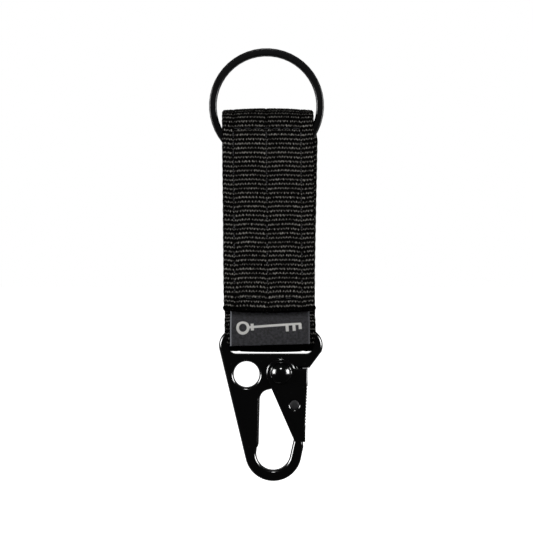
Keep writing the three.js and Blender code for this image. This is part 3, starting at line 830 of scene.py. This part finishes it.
class KEYSTRAP_OT_strap(bpy.types.Operator):
    """Back run and lower loop of the webbing"""

    bl_idname = "keystrap.strap"
    bl_label = "Strap webbing"

    def execute(self, context):
        path = back_path(settings().rib_pitch / MM / 4)
        tape = node_middle("loop_seam_left").x, node_middle("loop_seam_right").x
        # The front of the loop gets painted shade and flatter ribs.
        strap = webbing("strap_web", path, BACK_LEAN, 11, bulge=0.1, loop_sag=0.6, loop_shade=1.0,
                        seams=[tape[0] - 0.6, tape[1] - 0.6])
        material = webbing_material("strap_nylon", settings().yarn_and_highlight_colour,
                                    settings().groove_shade_colour)
        finish_piece(strap, "strap", material, ["strap_webbing"])
        return {"FINISHED"}


class KEYSTRAP_OT_flap(bpy.types.Operator):
    """Fold over the ring and the flap with its hem"""

    bl_idname = "keystrap.flap"
    bl_label = "Flap webbing"

    def execute(self, context):
        path = flap_path(settings().rib_pitch / MM / 5)
        lines = flap_seam_lines()
        ends = (lines[0] - 0.3, lines[2] + 0.3)
        crossings = []
        for name in ("flap_seam_top", "flap_seam_bottom"):
            crossings.append((*ends, path.s_at(node_middle(name).z, after=PAST_FOLD)))
        # The hem's roll gets painted shade and a wider end.
        flap = webbing("flap_web", path, FRONT_LEAN, 5, seams=lines, cross_seams=crossings,
                       hem_sag=0.55, hem_shade=0.9)
        material = webbing_material("flap_nylon", settings().yarn_and_highlight_colour,
                                    settings().groove_shade_colour)
        flap.data.materials.append(material)
        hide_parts("flap_webbing")
        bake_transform(flap)
        return {"FINISHED"}


# ------------------------------------------------------------ stitches


def stitch_mesh():
    """One stitch along Z, lying on the X-Z plane: thick in the middle, ends diving in."""
    deselect()
    thread = settings().thread
    bpy.ops.mesh.primitive_uv_sphere_add(segments=8, ring_count=7, radius=1)
    stitch = bpy.context.object
    stitch.scale = (thread / 2, thread * 0.42, settings().stitch * 0.47)
    place_in_mesh(stitch)
    for vertex in stitch.data.vertices:
        along = vertex.co.z / (settings().stitch / 2)
        vertex.co.y -= 0.22 * MM * (along * along)
    mesh = stitch.data
    bpy.data.objects.remove(stitch)
    return mesh


def stitch_row(name, places, body, cad_node, material):
    """Copies of one stitch at places given as (point, along, outward), in millimetres."""
    base = stitch_mesh()
    stitches = []
    for point, along, outward in places:
        along, outward = Vector(along).normalized(), Vector(outward).normalized()
        across = outward.cross(along)
        turn = Matrix((across, outward, along)).transposed().to_4x4()
        copy = bpy.data.objects.new(name, base.copy())
        copy.data.transform(Matrix.Translation(Vector(point) * MM) @ turn)
        bpy.context.scene.collection.objects.link(copy)
        stitches.append(copy)
    row = join(stitches, name)
    row.data.shade_smooth()
    turn_outwards(row)
    finish_piece(row, body, material, [cad_node])
    bpy.data.meshes.remove(base)
    return row


def spread(start, end, step):
    """Middles of equal stitches that fill a stretch."""
    count = max(1, round(abs(end - start) / step))
    return [start + (end - start) * (i + 0.5) / count for i in range(count)]


def upright_places(path, lean, across, top, bottom, after, sink):
    """Stitches that follow the cloth down from one height to another."""
    step = settings().stitch / MM
    start, end = path.s_at(top, after), path.s_at(bottom, after)
    places = []
    for s in spread(start, end, step):
        point, tangent, normal = path.place(s)
        out = WEB / 2 - sink
        x = across + float(pick(lean, point[1]))
        places.append(((x, point[0] + normal[0] * out, point[1] + normal[1] * out),
                       (0, *tangent), (0, *normal)))
    return places


def level_places(path, lean, left, right, z, after, sink):
    """Stitches across the cloth at one height."""
    point, _, normal = path.place(path.s_at(z, after))
    shift = float(pick(lean, z))
    out = WEB / 2 - sink
    places = []
    for across in spread(left, right, settings().stitch / MM):
        places.append(((across + shift, point[0] + normal[0] * out, point[1] + normal[1] * out),
                       (1, 0, 0), (0, *normal)))
    return places


class KEYSTRAP_OT_stitches(bpy.types.Operator):
    """Rows of stitches on the flap and on the back"""

    bl_idname = "keystrap.stitches"
    bl_label = "Stitching"

    def execute(self, context):
        material = thread_material()
        path = flap_path(settings().rib_pitch / MM / 5)
        lines = flap_seam_lines()
        sink = 0.4
        for side, across in zip(("left", "centre", "right"), lines):
            low, high = box_mm("flap_seam_" + side)
            places = upright_places(path, FRONT_LEAN, across, high.z, low.z, PAST_FOLD, sink)
            stitch_row("flap_stitches_" + side, places, "flap", "flap_seam_" + side, material)
        for end in ("top", "bottom"):
            z = node_middle("flap_seam_" + end).z
            places = level_places(path, FRONT_LEAN, lines[0], lines[2], z, PAST_FOLD, sink + 0.1)
            stitch_row("flap_stitches_" + end, places, "flap", "flap_seam_" + end, material)

        path = back_path(settings().rib_pitch / MM / 4)
        sink = 0.12
        edges = {}
        for side in ("left", "right"):
            low, high = box_mm("loop_seam_" + side)
            middle = node_middle("loop_seam_" + side)
            edges[side] = middle.x - float(pick(BACK_LEAN, middle.z))
            places = upright_places(path, BACK_LEAN, edges[side], high.z, low.z, 0, sink)
            stitch_row("back_stitches_" + side, places, "strap", "loop_seam_" + side, material)
        for end in ("top", "bottom"):
            z = node_middle("loop_seam_" + end).z
            places = level_places(path, BACK_LEAN, edges["left"], edges["right"], z, 0, sink)
            stitch_row("back_stitches_" + end, places, "strap", "loop_seam_" + end, material)

        low, high = box_mm("loop_closing_seam")
        half = (high.x - low.x) / 2 - 0.4
        top, bottom = high.z - 0.25, low.z + 0.25
        places = []
        for across in (-half, half):
            places += upright_places(path, BACK_LEAN, across, top, bottom, 0, sink)
        for z in (top, bottom):
            places += level_places(path, BACK_LEAN, -half, half, z, 0, sink)
        stitch_row("closing_stitches", places, "strap", "loop_closing_seam", material)
        return {"FINISHED"}


# ------------------------------------------------------------ tapes


def arch_mesh(radius, thickness, opening):
    """A small arch of filament standing on the X-Y plane; opening cuts off one foot."""
    deselect()
    bpy.ops.mesh.primitive_torus_add(major_segments=9, minor_segments=4, major_radius=radius,
                                     minor_radius=thickness / 2, rotation=(pi / 2, 0, 0))
    arch = bpy.context.object
    place_in_mesh(arch)
    bpy.ops.object.mode_set(mode="EDIT")
    bpy.ops.mesh.select_all(action="SELECT")
    bpy.ops.mesh.bisect(plane_co=(0, 0, -radius * 0.5), plane_no=(0, 0, 1), clear_inner=True,
                        use_fill=True)
    if opening:
        bpy.ops.mesh.select_all(action="SELECT")
        bpy.ops.mesh.bisect(plane_co=(radius * 0.45, 0, radius * 0.2), plane_no=(-1, 0, 0.9),
                            clear_inner=True, use_fill=True)
    bpy.ops.object.mode_set(mode="OBJECT")
    for vertex in arch.data.vertices:
        vertex.co.z += radius * 0.5
    mesh = arch.data
    bpy.data.objects.remove(arch)
    return mesh


def pile(name, base, places):
    """Many copies of a small mesh in one object, at 4 by 4 matrices."""
    points = np.array([vertex.co for vertex in base.vertices])
    faces = [tuple(polygon.vertices) for polygon in base.polygons]
    all_points, all_faces = [], []
    for index, matrix in enumerate(places):
        all_points.append(points @ np.array(matrix.to_3x3()).T + np.array(matrix.translation))
        start = index * len(points)
        all_faces.extend(tuple(start + i for i in face) for face in faces)
    mesh = bpy.data.meshes.new(name)
    mesh.from_pydata(np.concatenate(all_points).tolist(), [], all_faces)
    mesh.shade_smooth()
    piece = bpy.data.objects.new(name, mesh)
    bpy.context.scene.collection.objects.link(piece)
    turn_outwards(piece)
    return piece


def pile_places(path, lean, half_width, spacing, jitter, turn_range, out, seed):
    """Places for hooks or loops that stand on a path's outward face."""
    random = np.random.default_rng(seed)
    places = []
    for s in np.arange(0.8, path.length - 0.6, spacing[1]):
        for across in np.arange(-half_width + 0.8, half_width - 0.6, spacing[0]):
            shift = random.uniform(-jitter, jitter, 2)
            point, tangent, normal = path.place(s + shift[0])
            x = across + shift[1] + float(pick(lean, point[1]))
            turn = Matrix.Rotation(random.uniform(*turn_range), 3, "Z")
            up = Vector((0, *normal))
            along = Vector((0, *tangent))
            basis = Matrix((up.cross(along), along, up)).transposed()
            place = Vector((x, *(point + normal * out))) * MM
            places.append(Matrix.Translation(place) @ (basis @ turn).to_4x4())
    return places


class KEYSTRAP_OT_tapes(bpy.types.Operator):
    """Hook tape on the flap and loop tape on the strap"""

    bl_idname = "keystrap.tapes"
    bl_label = "Hook and loop tapes"

    def execute(self, context):
        # The tapes' ground gets painted highlight and shade from its ripple, like the webbing.
        ground = webbing_material("tape_ground", (0.02, 0.02, 0.021), (0.003, 0.003, 0.003))
        hook_colour = coated_metal("hook_nylon", (0.012, 0.012, 0.013), 0.35, 0.5, 5000, 0.1)
        base = TAPE_BASE
        half_width = (HOOK_HIGH.x - HOOK_LOW.x) / 2 - 0.25
        hook_y = (FLAP_TOP_Y + WEB / 2 + 0.05 + base / 2, FLAP_LOW_Y + WEB / 2 + 0.05 + base / 2)
        path = Path([
            ("line", hook_y[0], HOOK_HIGH.z, hook_y[0], BULGE_Z[0]),
            ("ease", hook_y[0], BULGE_Z[0], hook_y[1], BULGE_Z[1]),
            ("line", hook_y[1], BULGE_Z[1], hook_y[1], HOOK_LOW.z),
        ], -1, 0.45)
        back = plain_cloth("hook_ground", path, FRONT_LEAN, half_width, base, 3)
        hook = arch_mesh(0.33 * MM, 0.13 * MM, True)
        places = pile_places(path, FRONT_LEAN, half_width, (1.35, 1.45), 0.08,
                             (-0.25, 0.25), base / 2 - 0.02, 21)
        hooks = pile("hook_pile", hook, places)
        finish_piece(back, "flap", ground, ["hook_tape"])
        finish_piece(hooks, "flap", hook_colour)

        half_width = (LOOP_HIGH.x - LOOP_LOW.x) / 2 - 0.3
        ground_y = LOOP_HIGH.y - base / 2
        path = Path([("line", ground_y, LOOP_HIGH.z, ground_y, LOOP_LOW.z)], 1, 0.45)
        under = plain_cloth("loop_ground", path, BACK_LEAN, half_width, base, 4)
        loop = arch_mesh(0.4 * MM, 0.09 * MM, False)
        places = pile_places(path, BACK_LEAN, half_width, (0.72, 0.8), 0.3,
                             (0, pi), base / 2 - 0.02, 22)
        loops = pile("loop_pile", loop, places)
        finish_piece(under, "strap", ground, ["loop_tape"])
        fuzz = coated_metal("loop_nylon", (0.02, 0.02, 0.021), 0.5, 0.7, 5000, 0.1)
        finish_piece(loops, "strap", fuzz)
        return {"FINISHED"}


# ------------------------------------------------------------ label


class KEYSTRAP_OT_label(bpy.types.Operator):
    """Woven label on the front of the lower loop"""

    bl_idname = "keystrap.label"
    bl_label = "Label"

    def execute(self, context):
        thickness = 0.28
        front = -2 * LOOP_RADIUS - 0.13 - thickness / 2
        laid = LAID_Y - 1.35 / 2 - 0.13 - thickness / 2
        path = Path([
            ("line", front, LABEL_LOW.z, front, CLOSE_Z[0]),
            ("ease", front, CLOSE_Z[0], laid, CLOSE_Z[1]),
            ("line", laid, CLOSE_Z[1], laid, LABEL_HIGH.z),
        ], -1, 0.3)
        half_width = (LABEL_HIGH.x - LABEL_LOW.x) / 2
        centre = (LABEL_HIGH.x + LABEL_LOW.x) / 2
        columns = 96
        s = path.s[:, None]
        flat_x = np.linspace(-half_width, half_width, columns + 1)[None, :] + 0 * s
        tilt = radians(1.6)
        lowered = np.clip(1 - s / 5, 0, 1)
        wave = 0.05 * np.sin(flat_x / 3.1 + 0.6) * np.clip(1 - s / 7, 0, 1)
        edge = np.clip((np.abs(flat_x) - half_width + 0.42) / 0.12, 0, 1)
        depth = thickness / 2 * (1 - 0.35 * edge)
        x = centre + flat_x
        y, z = path.y[:, None] + wave, path.z[:, None] + tilt * flat_x * lowered
        ny, nz = path.normal[:, 0][:, None], path.normal[:, 1][:, None]

        def face(offset):
            return np.stack([x, y + ny * offset, z + nz * offset], axis=-1)

        mark_s = 5.3
        turn = radians(4.0)
        across = flat_x + 0.3
        up = s - mark_s
        u_map = across * cos(turn) + up * sin(turn)
        v_map = up * cos(turn) - across * sin(turn)
        # The paler band is stronger on the left side than on the right.
        side = np.where(flat_x < 0, 0.75, 0.2)
        label = sheet_mesh("woven_label", face(depth), face(-depth),
                           {"edge": edge * side}, u_map, v_map)
        finish_piece(label, "strap", label_material(), ["label"])
        return {"FINISHED"}


# ------------------------------------------------------------ metal


def arc(centre, radius, start, end, count=24):
    """Points of an arc, in degrees from start to end."""
    angles = np.radians(np.linspace(start, end, count))
    return [(centre[0] + radius * cos(a), centre[1] + radius * sin(a)) for a in angles]


def bend(start, handle, end, count=8):
    """Points of a bend pulled towards a handle."""
    points = []
    for t in np.linspace(0, 1, count):
        points.append(tuple((1 - t) ** 2 * a + 2 * t * (1 - t) * b + t * t * c
                            for a, b, c in zip(start, handle, end)))
    return points


def rounded_plate(name, outlines, middle_y, thickness, edge, steps):
    """A plate with outlines in X and Z and evenly rounded edges, from a filled curve."""
    curve = bpy.data.curves.new(name, "CURVE")
    curve.dimensions = "2D"
    curve.fill_mode = "BOTH"
    curve.bevel_depth = edge * MM
    curve.bevel_resolution = steps
    curve.extrude = (thickness / 2 - edge) * MM
    curve.offset = -edge * MM
    for outline in outlines:
        spline = curve.splines.new("POLY")
        spline.points.add(len(outline) - 1)
        for point, (x, z) in zip(spline.points, outline):
            point.co = (x * MM, z * MM, 0, 1)
        spline.use_cyclic_u = True
    piece = bpy.data.objects.new(name, curve)
    bpy.context.scene.collection.objects.link(piece)
    piece.rotation_euler = (pi / 2, 0, 0)
    piece.location = (0, middle_y * MM, 0)
    activate(piece)
    bpy.ops.object.convert(target="MESH")
    piece = bpy.context.object
    place_in_mesh(piece)
    bpy.ops.object.mode_set(mode="EDIT")
    bpy.ops.mesh.select_all(action="SELECT")
    bpy.ops.mesh.remove_doubles(threshold=0.002 * MM)
    bpy.ops.mesh.dissolve_limited(angle_limit=radians(0.3))
    bpy.ops.mesh.normals_make_consistent(inside=False)
    bpy.ops.object.mode_set(mode="OBJECT")
    turn_outwards(piece)
    return piece


def cut(piece, cutter):
    """Cuts one piece's shape out of another and drops the cutter."""
    activate(piece)
    bpy.ops.object.modifier_add(type="BOOLEAN")
    modifier = piece.modifiers[-1]
    modifier.operation = "DIFFERENCE"
    modifier.solver = "EXACT"
    modifier.object = cutter
    bpy.ops.object.modifier_apply(modifier=modifier.name)
    bpy.data.objects.remove(cutter)


def block(low, high):
    """An upright box cutter between two corners, in millimetres."""
    deselect()
    middle = [(a + b) / 2 * MM for a, b in zip(low, high)]
    bpy.ops.mesh.primitive_cube_add(size=1, location=middle)
    cutter = bpy.context.object
    cutter.scale = [(b - a) * MM for a, b in zip(low, high)]
    place_in_mesh(cutter)
    return cutter


def turned(name, profile, middle, steps):
    """A profile of (radius, Y) pairs spun about the Y axis through a place."""
    mesh = bpy.data.meshes.new(name)
    points = [(middle.x * MM + radius * MM, y * MM, middle.z * MM) for radius, y in profile]
    mesh.from_pydata(points, [(i, i + 1) for i in range(len(points) - 1)], [])
    piece = bpy.data.objects.new(name, mesh)
    bpy.context.scene.collection.objects.link(piece)
    activate(piece)
    bpy.ops.object.mode_set(mode="EDIT")
    bpy.ops.mesh.select_all(action="SELECT")
    bpy.ops.mesh.spin(steps=steps, angle=2 * pi, center=(middle.x * MM, 0, middle.z * MM),
                      axis=(0, 1, 0))
    bpy.ops.mesh.select_all(action="SELECT")
    bpy.ops.mesh.remove_doubles(threshold=0.002 * MM)
    bpy.ops.mesh.normals_make_consistent(inside=False)
    bpy.ops.object.mode_set(mode="OBJECT")
    bpy.ops.object.shade_smooth_by_angle(angle=radians(40))
    turn_outwards(piece)
    return piece


PIVOT = node_middle("pivot_rivet")
PIN = node_middle("spring_post")
HOOK_OUTER, HOOK_INNER = 7.9, 4.7           # radii of the hook's end
HOOK = (1.33, CLIP_LOW.z + HOOK_OUTER)
SHOULDER_Z = -38.4                          # the gate's top shuts against this
KEY_HOLE, KEY_HOLE_RADIUS = (-6.1, -40.15), 3.55
PIVOT_RADIUS = 1.6                          # hole for the rivet's shank
GATE_SHEET = 0.7
PIN_RADIUS = 1.27


def clip_outline():
    """The clip's outline: two round shoulders, a hook, and a lug at the pivot."""
    corner = 4.75
    left, right = CLIP_LOW.x + corner, CLIP_HIGH.x - corner
    corner_z = CLIP_HIGH.z - corner
    pivot = (PIVOT.x, PIVOT.z)
    points = arc((left, corner_z), corner, 90, 193.1)
    points += arc(HOOK, HOOK_OUTER, 193.1, 348, 48)
    points += [(9.75, -60.3), (9.45, -57), (9.4, -56.4), (7.3, -56.4), (7.25, -57.1)]
    points += arc(HOOK, HOOK_INNER, -10, -180, 48)
    points += bend((-3.2, -60.6), (-2.68, -59.9), (-2.68, -59.1), 7)
    points += bend((-2.4, -47), (-2.1, -44.7), (0.4, -44.4), 12)
    points += arc(pivot, 5, -118, 16, 30)
    points += [(11.4, SHOULDER_Z), (14.6, -34.1)]
    points += arc((right, corner_z), corner, -23, 90, 28)
    return points


def slot_outline():
    """The slot that holds the webbing."""
    left, right, bottom = -11.0, 12.4, -34.42
    top = CLIP_HIGH.z - 2.9
    low, high = 2.0, 0.6
    points = arc((right - low, bottom + low), low, -90, 0, 12)
    points += arc((right - high, top - high), high, 0, 90, 6)
    points += arc((left + high, top - high), high, 90, 180, 6)
    points += arc((left + low, bottom + low), low, 180, 270, 12)
    return points


def gate_outline():
    """The cheek's outline: an ear round the pivot, then a wedge down to the tip."""
    ear = 4.15
    top, right, tip = -38.5, CHEEK_HIGH.x, CHEEK_LOW.z
    inner = (7.15, tip + 0.25)
    pivot = (PIVOT.x, PIVOT.z)
    reach = Vector((pivot[0] - inner[0], pivot[1] - inner[1]))
    lean = np.degrees(np.arctan2(reach.y, reach.x) + np.arcsin(ear / reach.length)) + 90
    shoulder = np.degrees(np.arcsin((top - pivot[1]) / ear))
    points = [inner, (7.4, tip), (10.24, tip), (10.24, -56), (right, -43), (right, top)]
    return points + arc(pivot, ear, shoulder, lean, 48)


def clip_material(name):
    return coated_metal(name, settings().clip_colour, 0.12, 0.18, 1400, 0.05,
                        Specular_IOR_Level=1.0, Coat_Weight=1.0, Coat_Roughness=0.05,
                        Coat_IOR=1.7)


class KEYSTRAP_OT_ring(bpy.types.Operator):
    """Split ring of flat wire"""

    bl_idname = "keystrap.ring"
    bl_label = "Split ring"

    def execute(self, context):
        ring = copied_node("split_ring", "key_ring")
        bevel_sharp_edges(ring, 0.16 * MM, 2, sharp=25)
        weighted_shading(ring, 60)
        material = coated_metal("ring_black", settings().ring_colour, 0.24, 0.34, 3000, 0.12,
                                Specular_IOR_Level=0.6)
        finish_piece(ring, "ring", material, ["split_ring"])
        return {"FINISHED"}


class KEYSTRAP_OT_clip(bpy.types.Operator):
    """Body of the snap clip and its pivot rivet"""

    bl_idname = "keystrap.clip"
    bl_label = "Clip"

    def execute(self, context):
        key_hole = arc(KEY_HOLE, KEY_HOLE_RADIUS, 0, 352.5, 48)
        edge = settings().clip_edge / MM
        thickness = CLIP_HIGH.y - CLIP_LOW.y
        plate = rounded_plate("clip_plate", [clip_outline(), key_hole], CLIP_Y, thickness, edge, 5)
        cut(plate, rounded_plate("slot_punch", [slot_outline()], CLIP_Y, 2 * thickness, 0.02, 0))
        shank = [(0, -8), (PIVOT_RADIUS, -8), (PIVOT_RADIUS, 2), (0, 2)]
        cut(plate, turned("pivot_drill", shank, PIVOT, 32))
        weighted_shading(plate)
        finish_piece(plate, "clip", clip_material("clip_gloss"), ["clip_body"])

        rivet = turned("domed_rivet", self.rivet_profile(), PIVOT, 64)
        finish_piece(rivet, "clip", clip_material("rivet_gloss"), ["pivot_rivet"])
        return {"FINISHED"}

    @staticmethod
    def rivet_profile():
        """Dome, shank and tail as (radius, Y) pairs, from the front tip to the back."""
        seat = CHEEK_LOW.y - 0.02
        back = CHEEK_HIGH.y + 0.02
        radius = (RIVET_HIGH.x - RIVET_LOW.x) / 2
        rim = seat - 0.25
        height = rim - RIVET_LOW.y
        sphere = (radius * radius + height * height) / (2 * height)
        reach = np.arcsin(radius / sphere)
        profile = [(0, RIVET_LOW.y)]
        for angle in np.linspace(0, reach, 16)[1:-1]:
            profile.append((sphere * sin(angle), RIVET_LOW.y + sphere * (1 - cos(angle))))
        profile += [(radius, rim + 0.05), (radius - 0.03, seat - 0.06), (radius - 0.15, seat)]
        profile += [(1.5, seat), (1.5, back), (2.45, back), (2.6, back + 0.12),
                    (2.55, RIVET_HIGH.y - 0.16), (2.35, RIVET_HIGH.y - 0.02)]
        profile += [(1.2, RIVET_HIGH.y), (0.9, RIVET_HIGH.y - 0.1), (0, RIVET_HIGH.y - 0.12)]
        return profile


class KEYSTRAP_OT_gate(bpy.types.Operator):
    """Folded sheet gate with its pin and spring"""

    bl_idname = "keystrap.gate"
    bl_label = "Gate"

    def execute(self, context):
        front, back = CHEEK_LOW.y, CHEEK_HIGH.y
        edge = settings().gate_edge / MM
        gate = rounded_plate("gate_shell", [gate_outline()], (front + back) / 2, back - front,
                             edge, 4)
        inner = front + GATE_SHEET, back - GATE_SHEET
        cut(gate, block((-2, inner[0], -60), (9.5, inner[1], -30)))
        cut(gate, block((0, inner[0], -60), (12, inner[1], -55)))
        drill = [(0, front - 1), (1.7, front - 1), (1.7, back + 1), (0, back + 1)]
        cut(gate, turned("ear_drill", drill, PIVOT, 32))
        sunk = [(0, front - 0.5), (2.1, front - 0.5), (1.85, front), (1.5, front + 0.14),
                (1.3, front + 0.34), (1.2, front + 0.6)]
        sunk += [(radius, front + back - y) for radius, y in reversed(sunk)]
        cut(gate, turned("pin_drill", sunk, PIN, 40))
        self.cut_teeth(gate)
        weighted_shading(gate)
        finish_piece(gate, "gate", clip_material("gate_gloss"), ["gate_channel"])

        radius = PIN_RADIUS
        tip, heel = POST_LOW.y, POST_HIGH.y
        profile = [(0, tip - 0.04), (0.6, tip - 0.02), (radius - 0.2, tip + 0.05),
                   (radius - 0.03, tip + 0.16), (radius, tip + 0.3), (1.1, tip + 0.55)]
        profile += [(r, tip + heel - y) for r, y in reversed(profile)]
        post = turned("gate_pin", profile, PIN, 40)
        worn = coated_metal("pin_steel", (0.05, 0.05, 0.052), 0.4, 0.55, 2600, 0.3,
                            Metallic=0.6)
        finish_piece(post, "gate", worn, ["spring_post"])

        spring = copied_node("torsion_spring", "gate_spring")
        spring.data.shade_smooth()
        wire = coated_metal("spring_wire", (0.28, 0.28, 0.29), 0.25, 0.4, 3000, 0.1,
                            Metallic=1.0)
        finish_piece(spring, "gate", wire, ["torsion_spring"])
        return {"FINISHED"}

    @staticmethod
    def cut_teeth(gate):
        """Thirteen small notches across the gate's outer edge."""
        top, bottom, count = -43.35, -54.45, 13
        pitch = (top - bottom) / count
        cutters = []
        for i in range(count):
            z = bottom + (i + 0.5) * pitch
            x = np.interp(z, [-56, -43], [10.24, CHEEK_HIGH.x])
            deselect()
            bpy.ops.mesh.primitive_cylinder_add(vertices=3, radius=0.48 * MM, depth=8 * MM)
            wedge = bpy.context.object
            wedge.rotation_euler = (pi / 2, 0, 0)
            place_in_mesh(wedge)
            bpy.ops.transform.rotate(value=radians(20), orient_axis="Y", center_override=(0, 0, 0))
            wedge.location = ((x + 0.02) * MM, CLIP_Y * MM, z * MM)
            place_in_mesh(wedge)
            cutters.append(wedge)
        cut(gate, join(cutters, "tooth_cutters"))


# ------------------------------------------------------------ stage


def area_light(name, place, target, size, power, shape="RECTANGLE"):
    light = bpy.data.lights.new(name, "AREA")
    light.shape = shape
    light.size, light.size_y = size
    light.energy = power
    lamp = bpy.data.objects.new(name, light)
    lamp.location = place
    lamp.rotation_euler = (Vector(target) - Vector(place)).to_track_quat("-Z", "Y").to_euler()
    bpy.context.scene.collection.objects.link(lamp)
    return lamp


def studio_world():
    """White behind the subject, dark in front of it, so that gloss keeps its black."""
    world = bpy.data.worlds.new("studio")
    bpy.context.scene.world = world
    world.use_nodes = True
    tree = world.node_tree
    tree.nodes.clear()
    out = tree.nodes.new("ShaderNodeOutputWorld")
    seen = node(tree, "ShaderNodeBackground", Color=(1, 1, 1, 1), Strength=1.0)
    direction = tree.nodes.new("ShaderNodeTexCoord").outputs["Generated"]
    parts = node(tree, "ShaderNodeSeparateXYZ", {"Vector": direction})
    behind = node(tree, "ShaderNodeMapRange", {"Value": parts.outputs["Y"]},
                  interpolation_type="SMOOTHSTEP",
                  **{"From Min": 0.0, "From Max": 0.6, "To Min": 0.01, "To Max": 0.3})
    lit = node(tree, "ShaderNodeBackground", {"Strength": behind.outputs["Result"]},
               Color=(1, 1, 1, 1))
    path = tree.nodes.new("ShaderNodeLightPath")
    both = node(tree, "ShaderNodeMixShader", {0: path.outputs["Is Camera Ray"]})
    tree.links.new(lit.outputs[0], both.inputs[1])
    tree.links.new(seen.outputs[0], both.inputs[2])
    tree.links.new(both.outputs[0], out.inputs["Surface"])


class KEYSTRAP_OT_stage(bpy.types.Operator):
    """Pale floor, soft lights and the camera"""

    bl_idname = "keystrap.stage"
    bl_label = "Stage"

    def execute(self, context):
        deselect()
        floor_z = (CLIP_LOW.z - 4) * MM
        bpy.ops.mesh.primitive_plane_add(size=8, location=(0, 0, floor_z))
        floor = context.object
        floor.name = "floor"
        material, tree, shader = new_material("pale_floor", Roughness=0.9)
        grain = node(tree, "ShaderNodeTexNoise", Scale=60.0)
        shade = mix(tree, grain.outputs["Fac"], (0.93, 0.93, 0.93), (0.96, 0.96, 0.96))
        tree.links.new(shade, shader.inputs["Base Color"])
        tree.links.new(shade, shader.inputs["Emission Color"])
        shader.inputs["Emission Strength"].default_value = 1.2
        floor.data.materials.append(material)
        floor.visible_diffuse = False
        floor.visible_glossy = False

        studio_world()
        middle = (0, 0, -0.01)
        for side in (-1, 1):
            place = Vector((0.55 * side, -0.245, 0.09))
            area_light("side_box", place, middle, (0.38, 0.4), 1.1)
            area_light("side_lamp", place * 0.97, middle, (0.23, 0.3), 1.6, "ELLIPSE")
        area_light("top_lamp", (0.0, -0.44, 0.36), middle, (0.11, 0.1), 0.34, "ELLIPSE")

        camera = bpy.data.cameras.new("camera")
        camera.lens = 100
        camera.sensor_width = 36
        view = bpy.data.objects.new("camera", camera)
        view.location = (-0.00056, -0.4151, -0.0102)
        view.rotation_euler = (radians(90), 0, 0)
        context.scene.collection.objects.link(view)
        context.scene.camera = view
        context.scene.view_settings.view_transform = "Standard"
        return {"FINISHED"}


class KEYSTRAP_PT_panel(bpy.types.Panel):
    """The pieces of the key strap"""

    bl_idname = "KEYSTRAP_PT_panel"
    bl_label = "Key strap"
    bl_space_type = "VIEW_3D"
    bl_region_type = "UI"
    bl_category = "Key strap"

    def draw(self, context):
        for name in StrapSettings.__annotations__:
            self.layout.prop(context.scene.key_strap, name)
        for operator in PIECES:
            self.layout.operator(operator.bl_idname)


PIECES = (KEYSTRAP_OT_strap, KEYSTRAP_OT_flap, KEYSTRAP_OT_stitches, KEYSTRAP_OT_tapes,
          KEYSTRAP_OT_label, KEYSTRAP_OT_ring, KEYSTRAP_OT_clip, KEYSTRAP_OT_gate,
          KEYSTRAP_OT_stage)
CLASSES = (StrapSettings, *PIECES, KEYSTRAP_PT_panel)


def register():
    for cls in CLASSES:
        bpy.utils.register_class(cls)
    bpy.types.Scene.key_strap = bpy.props.PointerProperty(type=StrapSettings)


def unregister():
    del bpy.types.Scene.key_strap
    for cls in reversed(CLASSES):
        bpy.utils.unregister_class(cls)


def main():
    register()
    bpy.ops.keystrap.stage()
    bpy.ops.keystrap.strap()
    bpy.ops.keystrap.flap()
    bpy.ops.keystrap.stitches()
    bpy.ops.keystrap.tapes()
    bpy.ops.keystrap.label()
    bpy.ops.keystrap.ring()
    bpy.ops.keystrap.clip()
    bpy.ops.keystrap.gate()


if __name__ == "__main__":
    main()
